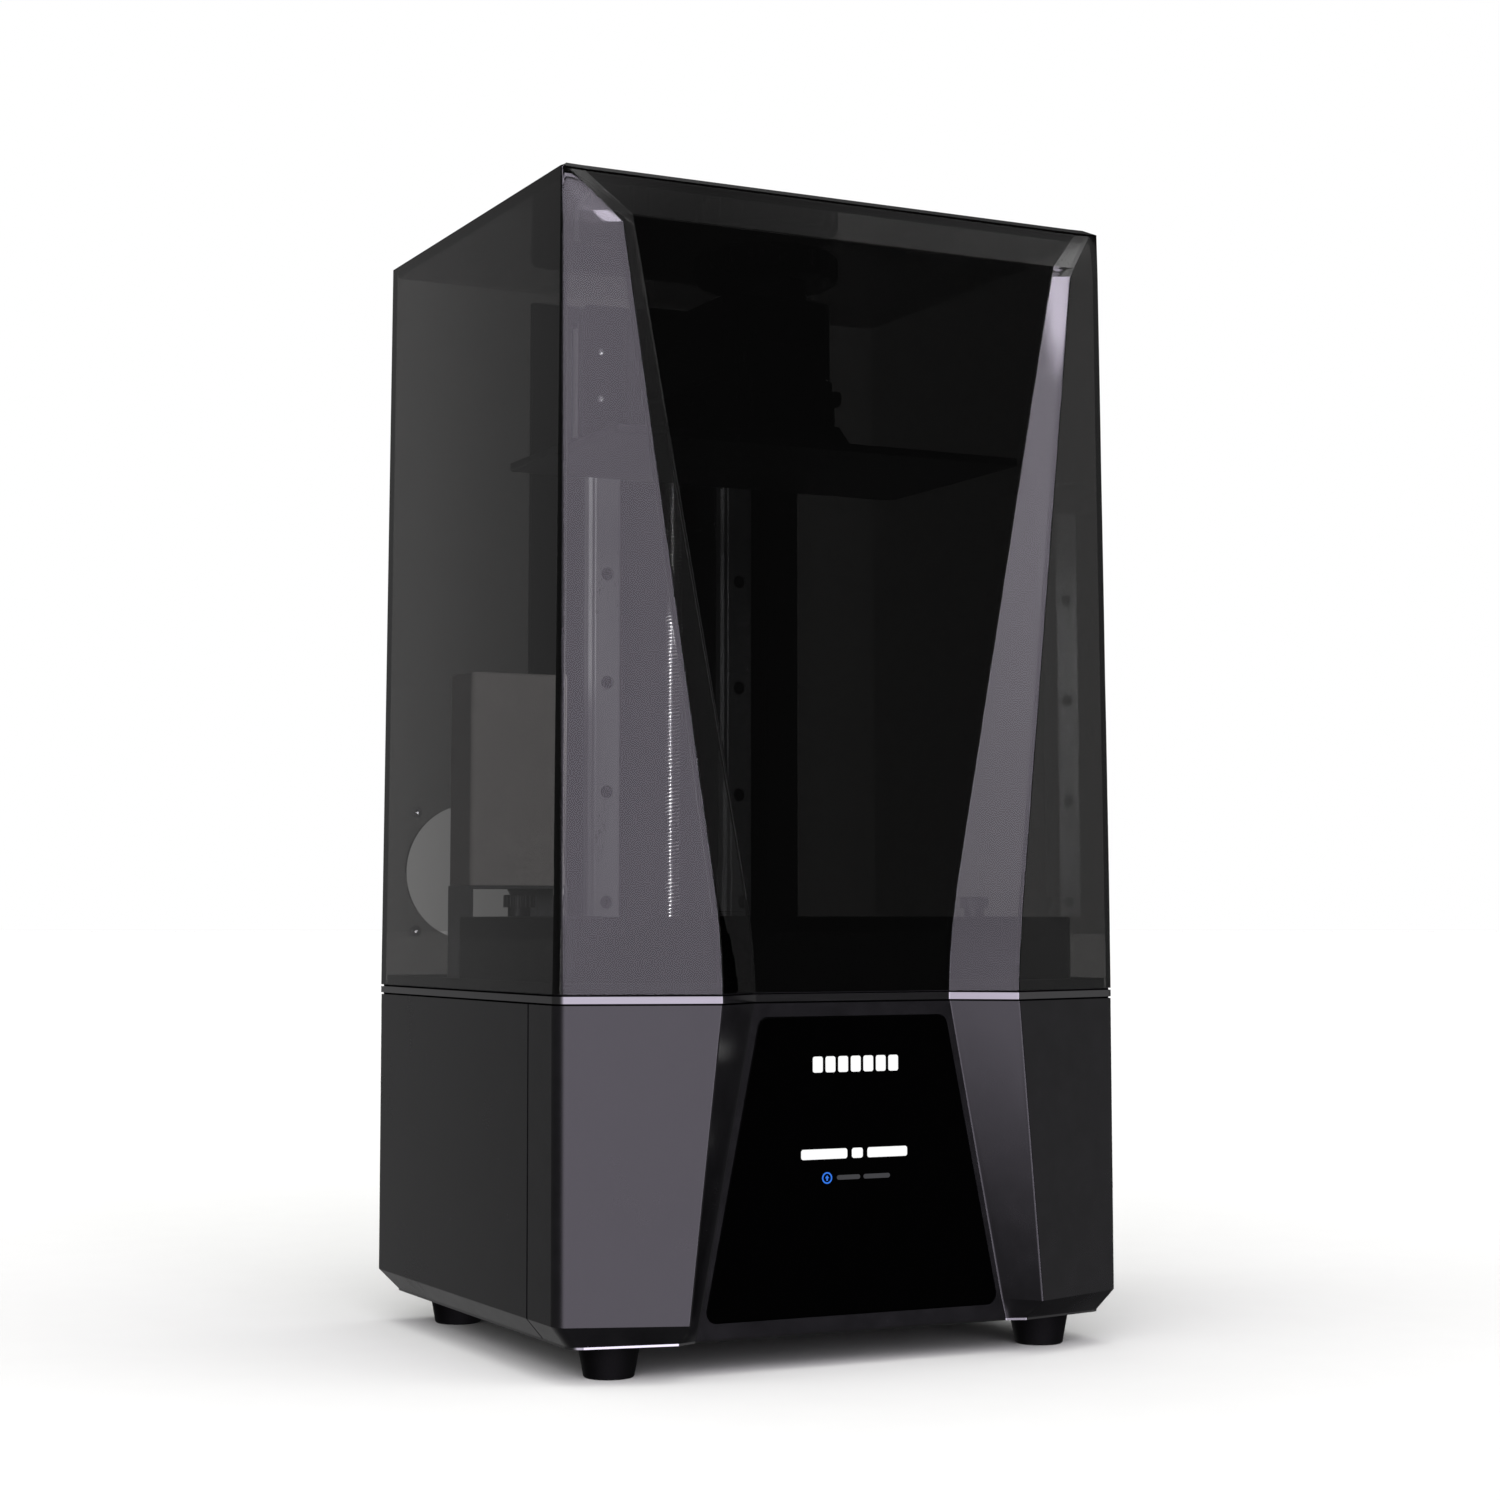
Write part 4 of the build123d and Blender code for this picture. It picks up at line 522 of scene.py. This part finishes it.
# a wide white card at the front left
CARD_AZIMUTH = (
    (-76, 0.0), (-66, .06), (-58, .22), (-52, .46), (-47, .76), (-42, .98), (-38, 1.0),
    (-13, 1.0), (-10, .9), (-3, .0))
CARD_ELEVATION = (
    (-36, 0.0), (-24, .8), (-14, .93), (-4, 1.0), (9, 1.0), (16, 1.12), (24, 1.35),
    (34, 1.45), (46, 0.9), (56, 0.0))
CARD_STRENGTH = 2.12
CARD_TINT = (1.09, 1.0, 1.20)
ROOM_TINT = (1.0, 0.995, 1.0)
# a small bright lamp in front of the card
LAMP_AZIMUTH = (-54.0, -46.0, -30.0, -28.0)
LAMP_ELEVATION = (23.8, 24.8, 27.0, 29.0)
LAMP_STRENGTH, LAMP_DIMMING = 9.0, 0.9
# an upright strip at the right edge of the card
STRIP_AZIMUTH = (-3.0, -0.5, 10.0, 13.0)
STRIP_ELEVATION = (-34.0, -24.0, 40.0, 56.0)
STRIP_STRENGTH = 5.0
OVERHEAD_ELEVATION = (57.0, 66.0, 89.0, 120.0)
OVERHEAD_STRENGTH = 1.7
# the slightly uneven white backdrop seen through the cover
BACKDROP_AZIMUTH = (
    (-180, .9), (140, .8), (146, .6), (148, .68), (152, .95), (156, .5), (158.4, .5),
    (159.4, .75), (160.5, 1.0), (166, 1.0), (180, .9))


def build_world():
    """Direct and transmitted rays see the white backdrop; all others see the studio."""
    world = bpy.data.worlds.new("studio")
    scene.world = world
    world.use_nodes = True
    graph = Graph(world.node_tree, "ShaderNodeOutputWorld")
    x, y, z = graph.axes(graph.node("ShaderNodeTexCoord").outputs["Generated"])
    degrees = 180.0 / math.pi
    azimuth = graph.mul(graph.math("ARCTAN2", x, graph.mul(y, -1.0)), degrees)
    elevation = graph.mul(graph.math("ARCSINE", z), degrees)

    def curves(across, up):
        return graph.mul(graph.curve(azimuth, -180.0, 180.0, across),
                         graph.curve(elevation, -90.0, 90.0, up))

    def patch(across, up, strength):
        inside = graph.mul(graph.band(azimuth, across), graph.band(elevation, up))
        return graph.mul(inside, strength)

    room = curves(ROOM_AZIMUTH, ROOM_ELEVATION)
    card = graph.mul(curves(CARD_AZIMUTH, CARD_ELEVATION), CARD_STRENGTH)
    lamp_glow = patch(LAMP_AZIMUTH, LAMP_ELEVATION, LAMP_STRENGTH)
    card = graph.add(card, patch(STRIP_AZIMUTH, STRIP_ELEVATION, STRIP_STRENGTH))
    overhead = graph.mul(graph.band(elevation, OVERHEAD_ELEVATION), OVERHEAD_STRENGTH)
    studio = graph.add_colors(
        graph.tint(graph.add(card, graph.mul(lamp_glow, LAMP_DIMMING)), CARD_TINT),
        graph.tint(graph.add(room, overhead), ROOM_TINT))
    studio = graph.node("ShaderNodeBackground", {"Color": studio})

    ray = graph.node("ShaderNodeLightPath").outputs
    uneven = graph.curve(azimuth, -180.0, 180.0, BACKDROP_AZIMUTH)
    uneven = graph.tint(uneven, (1.0, 1.0, 1.0))
    white = graph.mix_colors(ray["Is Transmission Ray"], (1.0, 1.0, 1.0), uneven)
    backdrop = graph.node("ShaderNodeBackground", {"Color": white, "Strength": 1.0})
    bounces = graph.add(ray["Diffuse Depth"], ray["Glossy Depth"])
    straight = graph.math("MAXIMUM", ray["Is Camera Ray"], ray["Is Transmission Ray"])
    factor = graph.mul(straight, graph.below(bounces, 0.5))
    graph.put(graph.output.inputs[0], graph.mix_shaders(factor, studio, backdrop))


build_world()


# --------------------------------------------------------------- floor and lights
def studio_floor():
    """Wide pale disc that only the camera and transmitted rays see."""
    mesh = bpy.data.meshes.new("studio_floor")
    bm = bmesh.new()
    bmesh.ops.create_circle(bm, cap_ends=True, radius=60.0, segments=96)
    bm.to_mesh(mesh)
    bm.free()
    ob = bpy.data.objects.new("studio_floor", mesh)
    scene.collection.objects.link(ob)
    graph = new_material("pale_floor")
    color = graph.mix_colors(graph.noise(scale=30.0, detail=4.0),
                             (0.372, 0.374, 0.364), (0.382, 0.384, 0.374))
    diffuse = graph.node("ShaderNodeBsdfDiffuse", {"Color": color})
    graph.put(graph.output.inputs[0], diffuse.outputs[0])
    mesh.materials.append(MATERIALS["pale_floor"])
    ob.visible_glossy = False
    ob.visible_shadow = False
    ob.visible_diffuse = False
    return ob


def group(name, members):
    collection = bpy.data.collections.new(name)
    for member in members:
        collection.objects.link(member)
    return collection


def point_along(ob, direction):
    ob.rotation_mode = "QUATERNION"
    ob.rotation_quaternion = direction.to_track_quat("-Z", "Y")


def add_light(name, kind, energy, place, **settings):
    data = bpy.data.lights.new(name, kind)
    data.energy = energy
    for key, value in settings.items():
        setattr(data, key, value)
    ob = bpy.data.objects.new(name, data)
    scene.collection.objects.link(ob)
    ob.location = place
    ob.visible_camera = False
    return ob


floor_set = group("floor_set", [studio_floor()])
floor_light = add_light("floor_light", "SUN", energy=7.5, place=(0, 0, 3),
                        angle=math.radians(125))
floor_light.rotation_euler = (math.radians(38), 0.0, math.radians(-26.6))
floor_light.light_linking.receiver_collection = floor_set
floor_light.visible_glossy = False

# The lights for the parts behind the cover are not blocked by the cover itself.
NOT_BLOCKING = ("cover_shell", "cover_top", "lead_screw")
blockers = group("blockers", [ob for name, ob in nodes.items() if name not in NOT_BLOCKING])
receivers = {**nodes, "lead_screw_thread": thread}
INSIDE_TARGET = (0, 0.05, 0.3)
FRONT_LEFT = (-1.25, -1.3, 0.75)
# name, power, place, size, pieces it lights
INSIDE_LIGHTS = (
    ("rail_light", 34.0, FRONT_LEFT, (0.9, 0.9),
     ("linear_rails", "rail_blocks", "rail_screws", "lead_nut")),
    ("stand_light", 38.0, FRONT_LEFT, (0.9, 0.9),
     ("purifier_bracket", "vat_thumbscrew_left", "vat_thumbscrew_right")),
    ("case_light", 22.0, (-0.35, -1.5, 0.60), (0.9, 0.9), ("purifier_case",)),
    ("screw_light", 420.0, FRONT_LEFT, (0.5, 0.5), ("carriage_screws", "vent_screws")),
    ("thread_light", 300.0, (-1.50, -0.66, 0.42), (0.42, 0.5), ("lead_screw_thread",)),
)
for name, power, place, (width, height), pieces in INSIDE_LIGHTS:
    light = add_light(name, "AREA", power, place, shape="RECTANGLE", size=width, size_y=height)
    point_along(light, Vector(INSIDE_TARGET) - light.location)
    lit_pieces = group(name + "_set", [receivers[piece] for piece in pieces])
    light.light_linking.receiver_collection = lit_pieces
    light.light_linking.blocker_collection = blockers


# ------------------------------------------------------------ camera and rendering
def add_camera():
    """Long lens at the front left, turned toward +X from straight back and tilted up."""
    yaw, pitch = math.radians(26.611), math.radians(5.705)
    data = bpy.data.cameras.new("view")
    camera = bpy.data.objects.new("view", data)
    scene.collection.objects.link(camera)
    scene.camera = camera
    camera.location = (-0.64775, -1.29447, 0.21048)
    point_along(camera, Vector((math.sin(yaw) * math.cos(pitch),
                                math.cos(yaw) * math.cos(pitch), math.sin(pitch))))
    data.sensor_width = 36.0
    data.lens = 66.39
    data.shift_x = -0.0002
    data.shift_y = -0.0698
    data.clip_start = 0.02
    data.clip_end = 200.0


add_camera()

scene.view_settings.view_transform = "Standard"
scene.view_settings.look = "None"
scene.view_settings.exposure = 0.0
scene.cycles.max_bounces = 16
scene.cycles.transmission_bounces = 16
scene.cycles.transparent_max_bounces = 40
scene.cycles.caustics_reflective = False
scene.cycles.caustics_refractive = True
